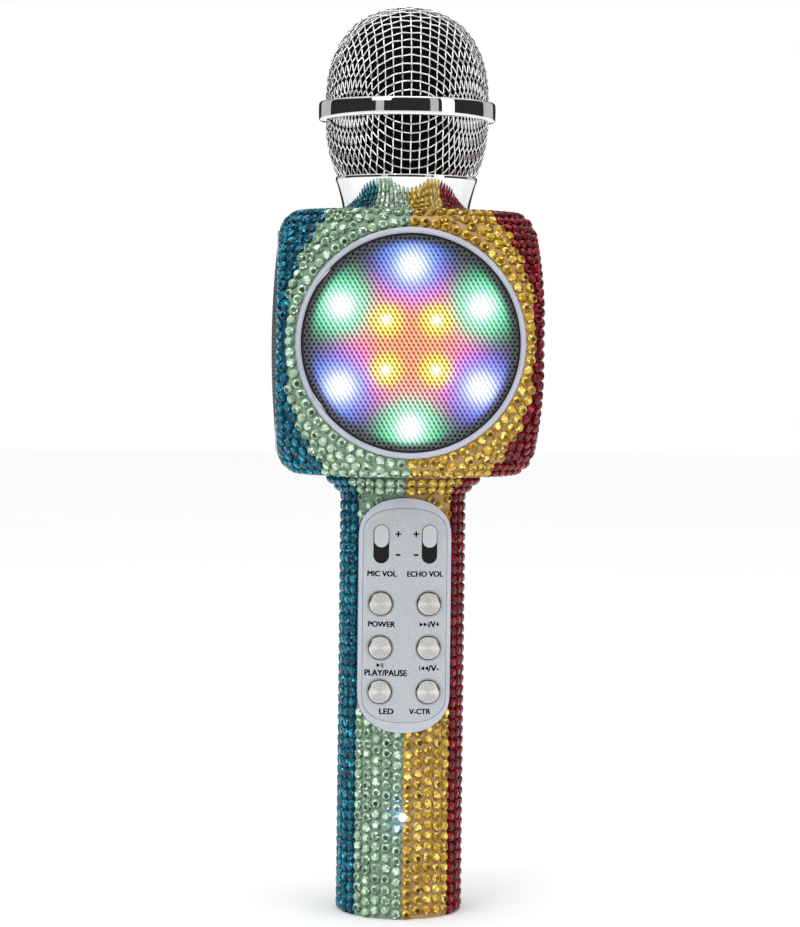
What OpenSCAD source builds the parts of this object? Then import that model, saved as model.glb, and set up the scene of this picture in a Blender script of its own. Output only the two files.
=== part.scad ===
// Toy karaoke microphone with a four-sided speaker housing and a rhinestone cover.
// Millimetres, +Z up along the handle, the front faces -Y, origin in the middle of the flat end.

/* [Overall] */
// Height from the flat end to the top of the wire mesh
total_h = 252; // [248:1:256]
// Height of the speakers' centre
housing_z = 158; // [157:0.5:159]
// Thickness of the layer of rhinestones, with its film
stone_t = 1.3; // [1.1:0.1:1.4]
// Wall thickness of the plastic shells
wall_t = 2; // [1.8:0.1:2.2]

/* [Handle] */
// Radius of the handle over its stones
handle_r = 17.7; // [17.6:0.1:17.9]
// Height at which the handle starts to flare into the housing
flare_z = 117.3; // [117:0.1:118]
// Radius of the flare where it meets the housing
flare_r = 23.4; // [22.5:0.1:24]
// Height of the end cap's outer rim
end_cap_h = 5; // [4:0.5:6]

/* [Housing] */
// Half of the housing's width over its stones
housing_half = 35.8; // [35.6:0.1:36]
// Radius of the four upright edges over the stones
upright_r = 6; // [5:0.5:7]
// Radius of the top and bottom edges over the stones
rim_r = 8.5; // [8:0.5:10]
// Radius of the ball that trims the eight corners
ball_r = 48.3; // [47.5:0.1:49]

/* [Speaker faces] */
// Outer radius of the round bezels
bezel_r = 30.95; // [30.8:0.05:31.1]
// Radius of the grille seen inside a bezel
grille_r = 29.2; // [29:0.1:29.25]
// Distance from the axis to a bezel's front
bezel_out = 35.9; // [35.8:0.1:36.2]
// Distance from the axis to the middle of a domed grille
grille_out = 37.2; // [36.9:0.1:37.6]
// Radius of the opening in a baffle
baffle_open_r = 24; // [23:0.5:24.5]
// Radius of the circle of the six outer lamps
lamp_ring_r = 21.6; // [20:0.1:23]
// Distance of the four inner lamps from the two centre lines
lamp_inner = 6.7; // [6:0.1:7.5]

/* [Control panel] */
// Width of the panel's bezel
panel_w = 25.3; // [25:0.1:25.6]
// Height of the panel's bezel
panel_h = 64.2; // [63.5:0.1:65]
// Height of the panel's centre
panel_z = 83.4; // [83:0.1:83.8]
// Width of the faceplate
plate_w = 22.9; // [22.7:0.1:23]
// Height of the faceplate
plate_h = 58.5; // [58:0.1:59]
// Radius of the faceplate's bowed front
panel_bow = 40; // [36:1:46]
// Distance of the buttons and sliders from the middle of the panel
control_x = 6.6; // [6.4:0.1:6.8]
// Height of the middle row of buttons
button_z = 74.6; // [74.2:0.1:75]
// Distance between rows of buttons
button_pitch = 12.05; // [12:0.05:12.2]
// Radius of a button's cap
button_r = 3.08; // [2.9:0.02:3.2]
// Travel of a button
button_travel = 0.8; // [0.5:0.1:0.8]
// Height of the sliders' slots
slider_z = 102.9; // [102.5:0.1:103.2]
// Length of a slider's slot
slot_l = 10.6; // [10.2:0.1:10.8]
// Width of a slider's slot
slot_w = 4.3; // [4.2:0.05:4.5]
// Length of a slider's knob
knob_l = 6.05; // [5.8:0.05:6.2]

/* [Head] */
// Height of the chrome collar's top
collar_z = 203.5; // [203:0.5:204]
// Radius of the collar's top
collar_r = 19.55; // [19.4:0.05:19.8]
// Radius of the collar where it leaves the housing
collar_foot_r = 17.4; // [17:0.1:17.6]
// Height of the band's middle
band_z = 222.4; // [222:0.1:223]
// Height of the chrome band
band_h = 5.2; // [5:0.1:5.6]
// Outer radius of the chrome band
band_r = 24.75; // [24.5:0.05:25]
// Radius of the wire mesh at the band
mesh_r = 22.7; // [22.5:0.1:22.9]
// Thickness of the woven wire mesh
mesh_t = 0.8; // [0.7:0.1:0.9]

/* [Sockets] */
// Radius of the 3.5 mm socket's bore
jack_bore_r = 1.8; // [1.76:0.01:1.85]

/* [Hidden] */

$fn = 96;
eps = 0.02;
gap = 0.1;
far = 200;
shell_r = handle_r - stone_t;
shell_half = housing_half - stone_t;
bore_r = shell_r - wall_t;
floor_z = housing_z - shell_half;
roof_z = housing_z + shell_half;
stone_floor_z = housing_z - housing_half;
shell_flare_r = flare_r - stone_t;

// Stations along a speaker's axis, measured outward from the housing's axis
recess_out = shell_half - wall_t - 0.7;
baffle_in = recess_out - 1.9;
flange_out = baffle_in - gap;
flange_in = flange_out - 1.9;
basket_in = 13;
magnet_in = 8;
board_in = recess_out + gap;
board_out = board_in + 1.4;
diffuser_in = board_out + 0.6;
diffuser_out = diffuser_in + 0.9;
recess_r = bezel_r - 0.6;
grille_sag = 1.6;
grille_t = 0.5;

// The control panel, measured along -Y
panel_out = handle_r + 0.5;
plate_out = panel_out + 0.1;
plate_t = 1.2;
panel_rise = 10.5;
plate_rise = 7.5;
tray_t = 1.2;
control_board_out = 9.2;
flange_seat = 14.4;
flange_t = 0.7;
switch_out = flange_seat - flange_t - button_travel - 0.2;
button_out = plate_out + 0.1;
button_hole_r = button_r + 0.57;
button_flange_r = button_r + 0.85;
knob_z = slider_z + (slot_l - knob_l) / 2 - 0.08;
knob_w = slot_w - 0.4;
lamp_z = 28;
lamp_r = 1;

// The head
band_top = band_z + band_h / 2;
band_foot = band_z - band_h / 2;
mesh_foot_r = 19.2;
capsule_r = 7.8;
capsule_z = 221;
capsule_top = capsule_z + 8;

// Faces are numbered 0 front, 1 right, 2 rear, 3 left. Children are built along +Z.
module face(i) {
    translate([0, 0, housing_z]) rotate([0, 0, 90 * i]) rotate([90, 0, 0]) children();
}

// Extrudes a front-view outline from one depth to another in front of the axis
module front_cut(from, to) {
    translate([0, -from, 0]) rotate([90, 0, 0]) linear_extrude(to - from) children();
}

// A disc or ring between two stations
module ring(outer, inner, low, high) {
    translate([0, 0, low]) difference() {
        cylinder(r = outer, h = high - low);
        translate([0, 0, -1]) cylinder(r = inner, h = high - low + 2);
    }
}

module disc(r, low, high) {
    translate([0, 0, low]) cylinder(r = r, h = high - low);
}

// Keeps the half in front of the axis (side -1) or behind it (side 1)
module half_space(side) {
    translate([0, side * far / 2, far / 2]) cube([far, far, 2 * far], center = true);
}

// Housing ------------------------------------------------------------------

module rounded_square(half, r) {
    square([2 * half, 2 * (half - r)], center = true);
    square([2 * (half - r), 2 * half], center = true);
    for (x = [-1, 1], y = [-1, 1]) translate([x, y] * (half - r)) circle(r);
}

module rounded_bar(half, r) {
    linear_extrude(3 * half, center = true) rounded_square(half, r);
}

// The housing's block, set in from the stones' surface
module housing_block(inset) {
    half = housing_half - inset;
    translate([0, 0, housing_z]) intersection() {
        rounded_bar(half, upright_r - inset);
        rotate([90, 0, 0]) rounded_bar(half, rim_r - inset);
        rotate([0, 90, 0]) rounded_bar(half, rim_r - inset);
        sphere(ball_r - inset);
    }
}

// Four pillars in the corners, each bored for a screw that pulls the shells together
boss_at = 28.2;
boss_r = 3;
boss_depth = 31;
screw_r = 1.2;
screw_head_r = 2.2;
screw_seat = 16;

module at_bosses() {
    for (x = [-1, 1], z = [-1, 1])
        translate([x * boss_at, 0, housing_z + z * boss_at]) children();
}

module housing_wall() {
    difference() {
        union() {
            difference() {
                housing_block(stone_t);
                difference() {
                    housing_block(stone_t + wall_t);
                    for (i = [0:3]) face(i) disc(recess_r + 2, baffle_in, shell_half + 1);
                }
            }
            intersection() {
                at_bosses() rotate([90, 0, 0]) cylinder(r = boss_r, h = 2 * boss_depth, center = true);
                housing_block(stone_t + wall_t / 2);
            }
        }
        for (i = [0:3]) {
            face(i) disc(recess_r, recess_out, shell_half + 5);
            face(i) disc(baffle_open_r, baffle_in - 1, recess_out + 1);
        }
        at_bosses() rotate([90, 0, 0]) cylinder(r = screw_r + 0.05, h = 2 * screw_seat + 2, center = true);
        at_bosses() rotate([-90, 0, 0]) disc(screw_head_r + gap, screw_seat, shell_half + 5);
        translate([0, 0, roof_z - 10]) cylinder(r = 14.5, h = 20);
        translate([0, 0, floor_z - 10]) cylinder(r = 11, h = 20);
    }
}

module housing_shell(side) {
    intersection() {
        housing_wall();
        half_space(side);
    }
}

module housing_shell_front() {
    color("gainsboro") housing_shell(-1);
}

module housing_shell_rear() {
    color("gainsboro") housing_shell(1);
}

// Countersunk from the rear, under the stones
module housing_screws() {
    color("silver") at_bosses() rotate([-90, 0, 0]) {
        disc(screw_r, -screw_seat, screw_seat + eps);
        disc(screw_head_r, screw_seat + eps, screw_seat + 2);
    }
}

// Speaker faces ------------------------------------------------------------

module bezel_ring() {
    lip = grille_r + 0.2;
    low = recess_out + 0.1;
    rotate_extrude() polygon([
        [lip, low], [recess_r - gap, low], [recess_r - gap, shell_half + eps],
        [bezel_r, shell_half + eps], [bezel_r, bezel_out - 0.5], [bezel_r - 0.4, bezel_out],
        [lip + 0.5, bezel_out], [lip, bezel_out - 0.5]]);
}

// Height of a domed surface above its edge, at radius r
function dome(r) = grille_sag * (1 - pow(r / grille_r, 2));
dome_steps = 12;
dome_edge = grille_out - grille_sag;

module domed_grille() {
    top = [for (i = [0:dome_steps]) let (r = grille_r * i / dome_steps) [r, dome_edge + dome(r)]];
    under = [for (i = [dome_steps:-1:0]) let (r = (grille_r - grille_t) * i / dome_steps)
        [r, dome_edge + dome(r) - grille_t]];
    rim = [[grille_r, diffuser_in], [grille_r - grille_t, diffuser_in]];
    rotate_extrude() polygon(concat(top, rim, under));
}

module bezel_front() {
    color("lavender") face(0) bezel_ring();
}

module bezel_right() {
    color("lavender") face(1) bezel_ring();
}

module bezel_rear() {
    color("lavender") face(2) bezel_ring();
}

module bezel_left() {
    color("lavender") face(3) bezel_ring();
}

module grille_front() {
    color("darkgray") face(0) domed_grille();
}

module grille_right() {
    color("darkgray") face(1) domed_grille();
}

module grille_rear() {
    color("darkgray") face(2) domed_grille();
}

module grille_left() {
    color("darkgray") face(3) domed_grille();
}

module diffuser_disc() {
    disc(grille_r - grille_t - gap, diffuser_in, diffuser_out);
}

module diffuser_front() {
    color("white") face(0) diffuser_disc();
}

module diffuser_rear() {
    color("white") face(2) diffuser_disc();
}

lamp_size = 3;
lamp_t = 0.4;

// Ten square lamps: six on a circle, four around the middle
module lamps() {
    for (a = [0:60:300]) rotate([0, 0, a + 90]) translate([lamp_ring_r, 0, 0])
        cube([lamp_size, lamp_size, 2 * lamp_t], center = true);
    for (x = [-1, 1], y = [-1, 1]) translate([x * lamp_inner, y * lamp_inner, 0])
        cube([lamp_size, lamp_size, 2 * lamp_t], center = true);
}

// A board with six sound holes
module lamp_board() {
    difference() {
        disc(grille_r - gap, board_in, board_out);
        for (a = [0:60:300]) rotate([0, 0, a]) translate([14.5, 0, 0]) disc(4, board_in - 1, board_out + 1);
    }
    translate([0, 0, board_out]) lamps();
}

module lamp_board_front() {
    color("white") face(0) lamp_board();
}

module lamp_board_rear() {
    color("white") face(2) lamp_board();
}

// Pressed steel basket with a flat flange and an open back for the magnet
module driver_frame() {
    rotate_extrude() polygon([
        [25.8, flange_out], [25.8, flange_in], [23.6, flange_in], [15.2, basket_in + 2.6],
        [15.2, basket_in], [5, basket_in], [5, basket_in + 1.2], [14, basket_in + 1.2],
        [14, basket_in + 3], [22.2, flange_in + 0.9], [22.2, flange_out]]);
}

module driver_magnet() {
    disc(14.8, magnet_in, basket_in - gap);
}

module driver_cone() {
    rotate_extrude() polygon([
        [22, flange_out], [22, flange_out - 0.6], [20, flange_out - 1.2], [6.4, basket_in + 6],
        [6.4, basket_in + 2], [5.6, basket_in + 2], [5.6, basket_in + 6.8], [0, basket_in + 7.8],
        [0, basket_in + 8.6], [7, basket_in + 7.6], [19.6, flange_out - 0.4], [21, flange_out]]);
}

module driver_frame_front() {
    color("dimgray") face(0) driver_frame();
}

module driver_frame_rear() {
    color("dimgray") face(2) driver_frame();
}

module driver_cone_front() {
    color("black") face(0) driver_cone();
}

module driver_cone_rear() {
    color("black") face(2) driver_cone();
}

module driver_magnet_front() {
    color("gray") face(0) driver_magnet();
}

module driver_magnet_rear() {
    color("gray") face(2) driver_magnet();
}

// A weighted diaphragm in a shallow frame that the two drivers push to and fro
module passive_radiator() {
    rotate_extrude() polygon([
        [0, flange_out - 0.4], [10, flange_out - 0.4], [10, flange_out - 1], [19, flange_out - 1],
        [21, flange_out + 0], [25, flange_out], [25, flange_in], [21, flange_in], [19, flange_in - 0.4],
        [10, flange_in - 0.4], [10, flange_in - 2.2], [0, flange_in - 2.2]]);
}

module passive_radiator_right() {
    color("black") face(1) passive_radiator();
}

module passive_radiator_left() {
    color("black") face(3) passive_radiator();
}

// Amplifier and radio board, upright between the two magnets
module main_board() {
    color("darkgreen") {
        translate([0, 0, housing_z]) cube([42, 1.6, 44], center = true);
        translate([-8, -2.2, housing_z + 6]) cube([12, 3, 12], center = true);
        translate([10, -1.9, housing_z - 8]) cube([9, 2.4, 9], center = true);
        translate([10, -3.4, housing_z + 12]) cube([6, 5.4, 8], center = true);
    }
}

// Handle -------------------------------------------------------------------

// The bezel's outline has rounder ends than the faceplate's
module panel_outline(grow) {
    polygon(stadium(panel_w + 2 * grow, panel_h + 2 * grow, panel_rise, 2.2));
}

module plate_outline(grow) {
    polygon(stadium(plate_w + 2 * grow, plate_h + 2 * grow, plate_rise, 2.5));
}

// Points of an upright outline with straight sides and superelliptical ends
end_steps = 10;
function end_quarter(w, h, rise, power) = [for (i = [0:end_steps]) let (a = 90 * i / end_steps)
    [w / 2 * pow(cos(a), 2 / power), h / 2 - rise + rise * pow(sin(a), 2 / power)]];
function mirrored(points, sx, sy) = [for (p = points) [sx * p.x, sy * p.y]];
function turned(points) = [for (i = [len(points) - 2:-1:0]) points[i]];
function stadium(w, h, rise, power) = let (q = end_quarter(w, h, rise, power))
    concat(q, turned(mirrored(q, -1, 1)), mirrored(q, -1, -1), turned(mirrored(q, 1, -1)));

// Everything behind the bowed front of the panel at a given distance out
module bow(out) {
    translate([0, panel_bow - out, 0]) cylinder(r = panel_bow, h = far);
}

module handle_flare(outer, top_r, foot, start, top) {
    rotate_extrude() polygon([[0, foot], [outer, foot], [outer, start], [top_r, top], [0, top]]);
}

module handle_wall() {
    difference() {
        handle_flare(shell_r, shell_flare_r, end_cap_h + eps, flare_z - 0.6, floor_z - eps);
        handle_flare(bore_r, bore_r + 3, end_cap_h - 1, flare_z, floor_z + 1);
        translate([0, 0, panel_z]) front_cut(0, far / 4) panel_outline(gap);
        translate([0, 0, lamp_z]) front_cut(0, far / 4) circle(lamp_r + gap);
    }
}

module handle_shell_front() {
    color("gainsboro") intersection() {
        handle_wall();
        half_space(-1);
    }
}

module handle_shell_rear() {
    color("gainsboro") intersection() {
        handle_wall();
        half_space(1);
    }
}

jack_at = [-8.5, -3, 0];
charge_at = [2.5, -4, 0];
card_at = [0, 5, 0];
socket_foot = 0.8;
plug_z = 4;

module slot_hole(at, w, d, h) {
    translate([at.x - w / 2, at.y - d / 2, -1]) cube([w, d, h + 1]);
}

module end_cap() {
    color("gainsboro") difference() {
        union() {
            cylinder(r = shell_r, h = end_cap_h);
            cylinder(r = bore_r - gap, h = end_cap_h + plug_z);
        }
        translate([0, 0, socket_foot + 2]) cylinder(r = bore_r - gap - wall_t, h = far);
        translate(jack_at - [0, 0, 1]) cylinder(r = 3 + gap, h = far);
        slot_hole(charge_at, 9.2, 4.2, far);
        slot_hole(card_at, 13.2, 2.6, far);
    }
}

module audio_jack() {
    color("black") translate(jack_at) ring(3, jack_bore_r, socket_foot, 13);
    color("black") translate(jack_at) disc(3, 13 - eps, 14);
}

module charge_socket() {
    color("silver") difference() {
        slot_body(charge_at, 9, 4, socket_foot, 7);
        slot_body(charge_at, 8, 3, socket_foot - 1, 6);
    }
    color("silver") slot_body(charge_at, 5.6, 0.7, socket_foot + 1, 6.5);
}

module card_socket() {
    color("silver") difference() {
        slot_body(card_at, 13, 2.4, socket_foot, 15);
        slot_body(card_at, 11.4, 1, socket_foot - 1, 14);
    }
}

module slot_body(at, w, d, low, high) {
    translate([at.x - w / 2, at.y - d / 2, low]) cube([w, d, high - low]);
}

module battery() {
    color("royalblue") translate([0, 4.4, 22]) cylinder(r = 9.2, h = 65);
}

module charge_board() {
    color("darkgreen") {
        translate([-9, -10.6, 16]) cube([18, 1.4, 32]);
        translate([-4, -9.2 - eps, 20]) cube([8, 2, 8]);
    }
}

module status_lamp() {
    color("white") translate([0, 0, lamp_z]) front_cut(shell_r - wall_t - 1, handle_r) circle(lamp_r);
}

// Control panel ------------------------------------------------------------

// Front-view outlines of the openings that the buttons and sliders stand in
module control_openings(grow) {
    for (x = [-1, 1]) {
        for (row = [-1:1]) translate([x * control_x, button_z - panel_z + row * button_pitch])
            circle(button_hole_r + grow);
        translate([x * control_x, slider_z - panel_z]) slot(slot_w + 2 * grow, slot_l + 2 * grow);
    }
}

module slot(w, l) {
    square([w, l - w], center = true);
    for (s = [-1, 1]) translate([0, s * (l - w) / 2]) circle(w / 2);
}

// A tray whose rim stands around the faceplate and whose floor carries it
module control_bezel() {
    color("lavender") difference() {
        intersection() {
            translate([0, 0, panel_z]) front_cut(11, far / 4) panel_outline(0);
            bow(panel_out);
        }
        difference() {
            translate([0, 0, panel_z]) front_cut(0, far / 4) plate_outline(gap);
            bow(plate_out - plate_t - eps);
        }
        intersection() {
            translate([0, 0, panel_z]) front_cut(0, far / 4) panel_outline(-1.2);
            bow(plate_out - plate_t - tray_t);
        }
        translate([0, 0, panel_z]) front_cut(0, far / 4) control_openings(0.2);
    }
}

module faceplate() {
    color("silver") difference() {
        intersection() {
            translate([0, 0, panel_z]) front_cut(0, far / 4) plate_outline(0);
            bow(plate_out);
        }
        bow(plate_out - plate_t);
        translate([0, 0, panel_z]) front_cut(0, far / 4) control_openings(0);
    }
}

module control_board() {
    color("darkgreen") translate([-9.8, -control_board_out, 53]) cube([19.6, 1.4, 61]);
}

module tact_switches() {
    color("dimgray") for (x = [-1, 1], row = [-1:1])
        translate([x * control_x, 0, button_z + row * button_pitch]) {
            front_cut(control_board_out + eps, switch_out - 1) square(6, center = true);
            front_cut(switch_out - 1.1, switch_out - gap) circle(1.6);
        }
}

module slide_pots() {
    color("dimgray") for (x = [-1, 1]) translate([x * control_x, 0, slider_z])
        front_cut(control_board_out + eps, 11.7) square([5.6, 15], center = true);
}

// A push button: spun cap, stem and the flange that keeps it behind the tray
module button(column, row) {
    translate([column * control_x, 0, button_z + row * button_pitch]) rotate([90, 0, 0]) rotate_extrude()
        polygon([[0, flange_seat - flange_t], [button_flange_r, flange_seat - flange_t],
            [button_flange_r, flange_seat], [button_r, flange_seat], [button_r, button_out - 0.25],
            [button_r - 0.25, button_out], [0, button_out]]);
}

module button_power() {
    color("silver") button(-1, 1);
}

module button_play() {
    color("silver") button(-1, 0);
}

module button_lamp() {
    color("silver") button(-1, -1);
}

module button_next() {
    color("silver") button(1, 1);
}

module button_previous() {
    color("silver") button(1, 0);
}

module button_voice() {
    color("silver") button(1, -1);
}

// A slider's oval knob on the blade that works the slide control
module knob(column) {
    translate([column * control_x, 0, knob_z]) {
        front_cut(flange_seat, button_out) slot(knob_w, knob_l);
        front_cut(11.9, flange_seat + eps) square([1.6, 3], center = true);
    }
}

module knob_mic_volume() {
    color("silver") knob(-1);
}

module knob_echo_volume() {
    color("silver") knob(1);
}

// Head ---------------------------------------------------------------------

// The collar's flare is nearly a straight cone
collar_steps = 10;
function flare(t) = collar_foot_r + (collar_r - collar_foot_r) * pow(t, 1.2);

module collar() {
    straight = 0.5;
    rise = collar_z - 0.6 - roof_z - straight;
    skin = [for (i = [0:collar_steps]) let (t = i / collar_steps) [flare(t), roof_z + straight + rise * t]];
    color("silver") rotate_extrude() polygon(concat(
        [[13, roof_z - 6], [14.4, roof_z - 6], [14.4, roof_z + eps], [collar_foot_r, roof_z + eps]],
        skin,
        [[collar_r, collar_z], [mesh_foot_r - 0.4, collar_z], [mesh_foot_r - 0.4, collar_z - 3],
            [15.6, collar_z - 3], [15.6, roof_z + 2], [13, roof_z + 2]]));
}

module collar_nut() {
    color("dimgray") ring(18, 14.45, roof_z - wall_t - 4, roof_z - wall_t - gap);
}

// Radius of the lower bowl of mesh at fraction t from the collar to the band
function bowl_r(t) = mesh_foot_r + (mesh_r - mesh_foot_r) * sin(90 * t);
bowl_steps = 12;
bowl_foot = collar_z + gap;
bowl_rise = band_foot - gap - bowl_foot;

module mesh_lower() {
    outside = [for (i = [0:bowl_steps]) let (t = i / bowl_steps) [bowl_r(t), bowl_foot + bowl_rise * t]];
    inside = [for (i = [bowl_steps:-1:0]) let (t = i / bowl_steps)
        [bowl_r(t) - mesh_t, bowl_foot + bowl_rise * t]];
    color("silver") {
        rotate_extrude() polygon(concat(outside, inside));
        ring(mesh_foot_r - 0.45, mesh_foot_r - 1.3, collar_z - 2.8, bowl_foot + 0.5);
    }
}

module head_band() {
    half = band_h / 2;
    color("silver") rotate_extrude() polygon([
        [mesh_r - 1.4, band_z - half], [band_r - 0.9, band_z - half], [band_r, band_z - half * 0.6],
        [band_r, band_z - 0.35], [band_r - 0.25, band_z], [band_r, band_z + 0.35],
        [band_r, band_z + half * 0.6], [band_r - 0.9, band_z + half], [mesh_r - 1.4, band_z + half]]);
}

// Point on the upper dome of mesh at angle a above the band, set in by d
dome_h = total_h - band_top - gap;
function dome_point(a, d) = [(mesh_r - d) * cos(a), band_top + gap + (dome_h - d) * sin(a)];
mesh_steps = 18;

module mesh_upper() {
    outside = [for (i = [0:mesh_steps]) dome_point(90 * i / mesh_steps, 0)];
    inside = [for (i = [mesh_steps:-1:0]) dome_point(90 * i / mesh_steps, mesh_t)];
    color("silver") rotate_extrude() polygon(concat(outside, inside));
}

// A foam ball fills the mesh, with a blind hole for the capsule
module foam_ball() {
    clear = mesh_t + 0.3;
    low = [for (i = [1:bowl_steps]) let (t = i / bowl_steps)
        [min(bowl_r(t) - clear, mesh_r - 1.7), bowl_foot + bowl_rise * t]];
    high = [for (i = [1:mesh_steps]) let (p = dome_point(90 * i / mesh_steps, clear))
        [min(p.x, mesh_r - 1.7), p.y]];
    color("dimgray") difference() {
        rotate_extrude() polygon(concat([[0, low[0].y]], low, high));
        translate([0, 0, collar_z - 1]) cylinder(r = capsule_r + 0.4, h = capsule_top + 1 - collar_z);
    }
}

module capsule_holder() {
    color("black") {
        ring(capsule_r, capsule_r - 2, roof_z + 2 + gap, capsule_z - gap);
        ring(15.4, capsule_r - eps, roof_z + 2 + gap, roof_z + 4);
    }
}

module mic_capsule() {
    color("gold") disc(capsule_r - 0.6, capsule_z, capsule_top - 1);
}

// Rhinestone layer ---------------------------------------------------------

// A wedge between two directions, counted from the front towards +X
module wedge(from, to) {
    turns = [from, (from + to) / 2, to];
    linear_extrude(2 * far) polygon(concat([[0, 0]], [for (a = turns) far * [sin(a), -cos(a)]]));
}

module handle_stones() {
    difference() {
        handle_flare(handle_r, flare_r, 0.4, flare_z, stone_floor_z);
        handle_flare(shell_r + eps, shell_flare_r + eps, -1, flare_z - 0.6, floor_z + eps);
        translate([0, 0, panel_z]) front_cut(0, far / 4) panel_outline(gap);
        translate([0, 0, lamp_z]) front_cut(0, far / 4) circle(lamp_r + gap);
    }
}

module housing_stones() {
    difference() {
        housing_block(0);
        housing_block(stone_t - eps);
        for (i = [0:3]) face(i) disc(bezel_r + gap, 20, far / 2);
        translate([0, 0, roof_z - 5]) cylinder(r = collar_foot_r + gap, h = 20);
        translate([0, 0, floor_z - 10]) cylinder(r = flare_r + eps, h = 20);
    }
}

// A colour's part of the layer: one band of directions on the handle, one on the housing
module stones(handle_from, handle_to, housing_from, housing_to) {
    intersection() {
        handle_stones();
        wedge(handle_from, handle_to);
    }
    intersection() {
        housing_stones();
        wedge(housing_from, housing_to);
    }
}

corner_turn = 45;
handle_turn = 50;

module stones_teal() {
    color("teal") stones(handle_turn - 180, -handle_turn, corner_turn - 180, -corner_turn);
}

module stones_mint() {
    color("darkseagreen") {
        stones(-handle_turn, 0, -corner_turn, 0);
        stones(-180, handle_turn - 180, -180, corner_turn - 180);
    }
}

module stones_gold() {
    color("goldenrod") {
        stones(0, handle_turn, 0, corner_turn);
        stones(180 - handle_turn, 180, 180 - corner_turn, 180);
    }
}

module stones_red() {
    color("darkred") stones(handle_turn, 180 - handle_turn, corner_turn, 180 - corner_turn);
}

handle_shell_front();
handle_shell_rear();
end_cap();
audio_jack();
charge_socket();
card_socket();
housing_shell_front();
housing_shell_rear();
bezel_front();
bezel_right();
bezel_rear();
bezel_left();
grille_front();
grille_right();
grille_rear();
grille_left();
diffuser_front();
diffuser_rear();
lamp_board_front();
lamp_board_rear();
driver_frame_front();
driver_frame_rear();
driver_cone_front();
driver_cone_rear();
driver_magnet_front();
driver_magnet_rear();
passive_radiator_right();
passive_radiator_left();
main_board();
housing_screws();
control_bezel();
faceplate();
control_board();
tact_switches();
slide_pots();
button_power();
button_play();
button_lamp();
button_next();
button_previous();
button_voice();
knob_mic_volume();
knob_echo_volume();
battery();
charge_board();
status_lamp();
collar();
collar_nut();
mesh_lower();
head_band();
mesh_upper();
foam_ball();
capsule_holder();
mic_capsule();
stones_teal();
stones_mint();
stones_gold();
stones_red();
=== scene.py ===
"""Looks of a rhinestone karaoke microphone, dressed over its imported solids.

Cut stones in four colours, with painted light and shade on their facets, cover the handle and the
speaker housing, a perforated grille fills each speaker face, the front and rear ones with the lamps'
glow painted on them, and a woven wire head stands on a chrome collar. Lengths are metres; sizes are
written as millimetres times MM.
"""

import sys
import logging
import math
import random
from dataclasses import dataclass, field
from enum import Enum
from typing import Any, Callable, Iterable, Optional, Sequence

import bpy
import numpy as np
from mathutils import Matrix, Vector


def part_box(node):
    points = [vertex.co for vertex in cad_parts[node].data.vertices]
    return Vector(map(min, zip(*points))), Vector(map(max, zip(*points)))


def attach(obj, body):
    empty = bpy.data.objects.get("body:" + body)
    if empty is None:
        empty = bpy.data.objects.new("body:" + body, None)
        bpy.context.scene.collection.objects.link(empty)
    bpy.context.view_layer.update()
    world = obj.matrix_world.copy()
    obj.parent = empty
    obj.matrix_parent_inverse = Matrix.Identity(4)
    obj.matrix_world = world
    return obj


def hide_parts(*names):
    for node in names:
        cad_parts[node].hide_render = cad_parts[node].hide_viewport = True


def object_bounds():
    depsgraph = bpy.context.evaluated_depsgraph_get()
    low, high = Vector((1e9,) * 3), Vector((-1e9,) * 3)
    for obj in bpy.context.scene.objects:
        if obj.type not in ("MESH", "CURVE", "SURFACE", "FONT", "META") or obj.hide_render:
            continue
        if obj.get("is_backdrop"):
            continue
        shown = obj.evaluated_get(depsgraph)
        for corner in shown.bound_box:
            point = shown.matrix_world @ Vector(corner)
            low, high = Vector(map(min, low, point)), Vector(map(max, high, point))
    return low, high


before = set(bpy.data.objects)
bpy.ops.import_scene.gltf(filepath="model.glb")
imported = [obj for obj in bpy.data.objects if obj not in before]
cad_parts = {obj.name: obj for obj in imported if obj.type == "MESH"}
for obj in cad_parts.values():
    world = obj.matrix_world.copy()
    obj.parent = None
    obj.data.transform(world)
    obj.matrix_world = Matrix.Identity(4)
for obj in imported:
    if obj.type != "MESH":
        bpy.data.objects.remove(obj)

log = logging.getLogger("microphone")

MM = 0.001
BODY = "body"
HOUSING_Z = 158 * MM

Colour = tuple[float, float, float]


def tint(red: int, green: int, blue: int) -> Colour:
    """Gives the linear colour of a paint chart's red, green and blue, each from 0 to 255."""
    shares = [value / 255 for value in (red, green, blue)]
    return tuple(s / 12.92 if s <= 0.04045 else ((s + 0.055) / 1.055) ** 2.4 for s in shares)


class Hue(Enum):
    """The four stone colours."""

    TEAL = "teal"
    MINT = "mint"
    GOLD = "gold"
    RED = "red"


class Face(Enum):
    """The housing's four speaker faces, each with its turn about the upright axis in degrees."""

    FRONT = 0
    RIGHT = 90
    REAR = 180
    LEFT = 270


# Shader maths -------------------------------------------------------------


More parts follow.
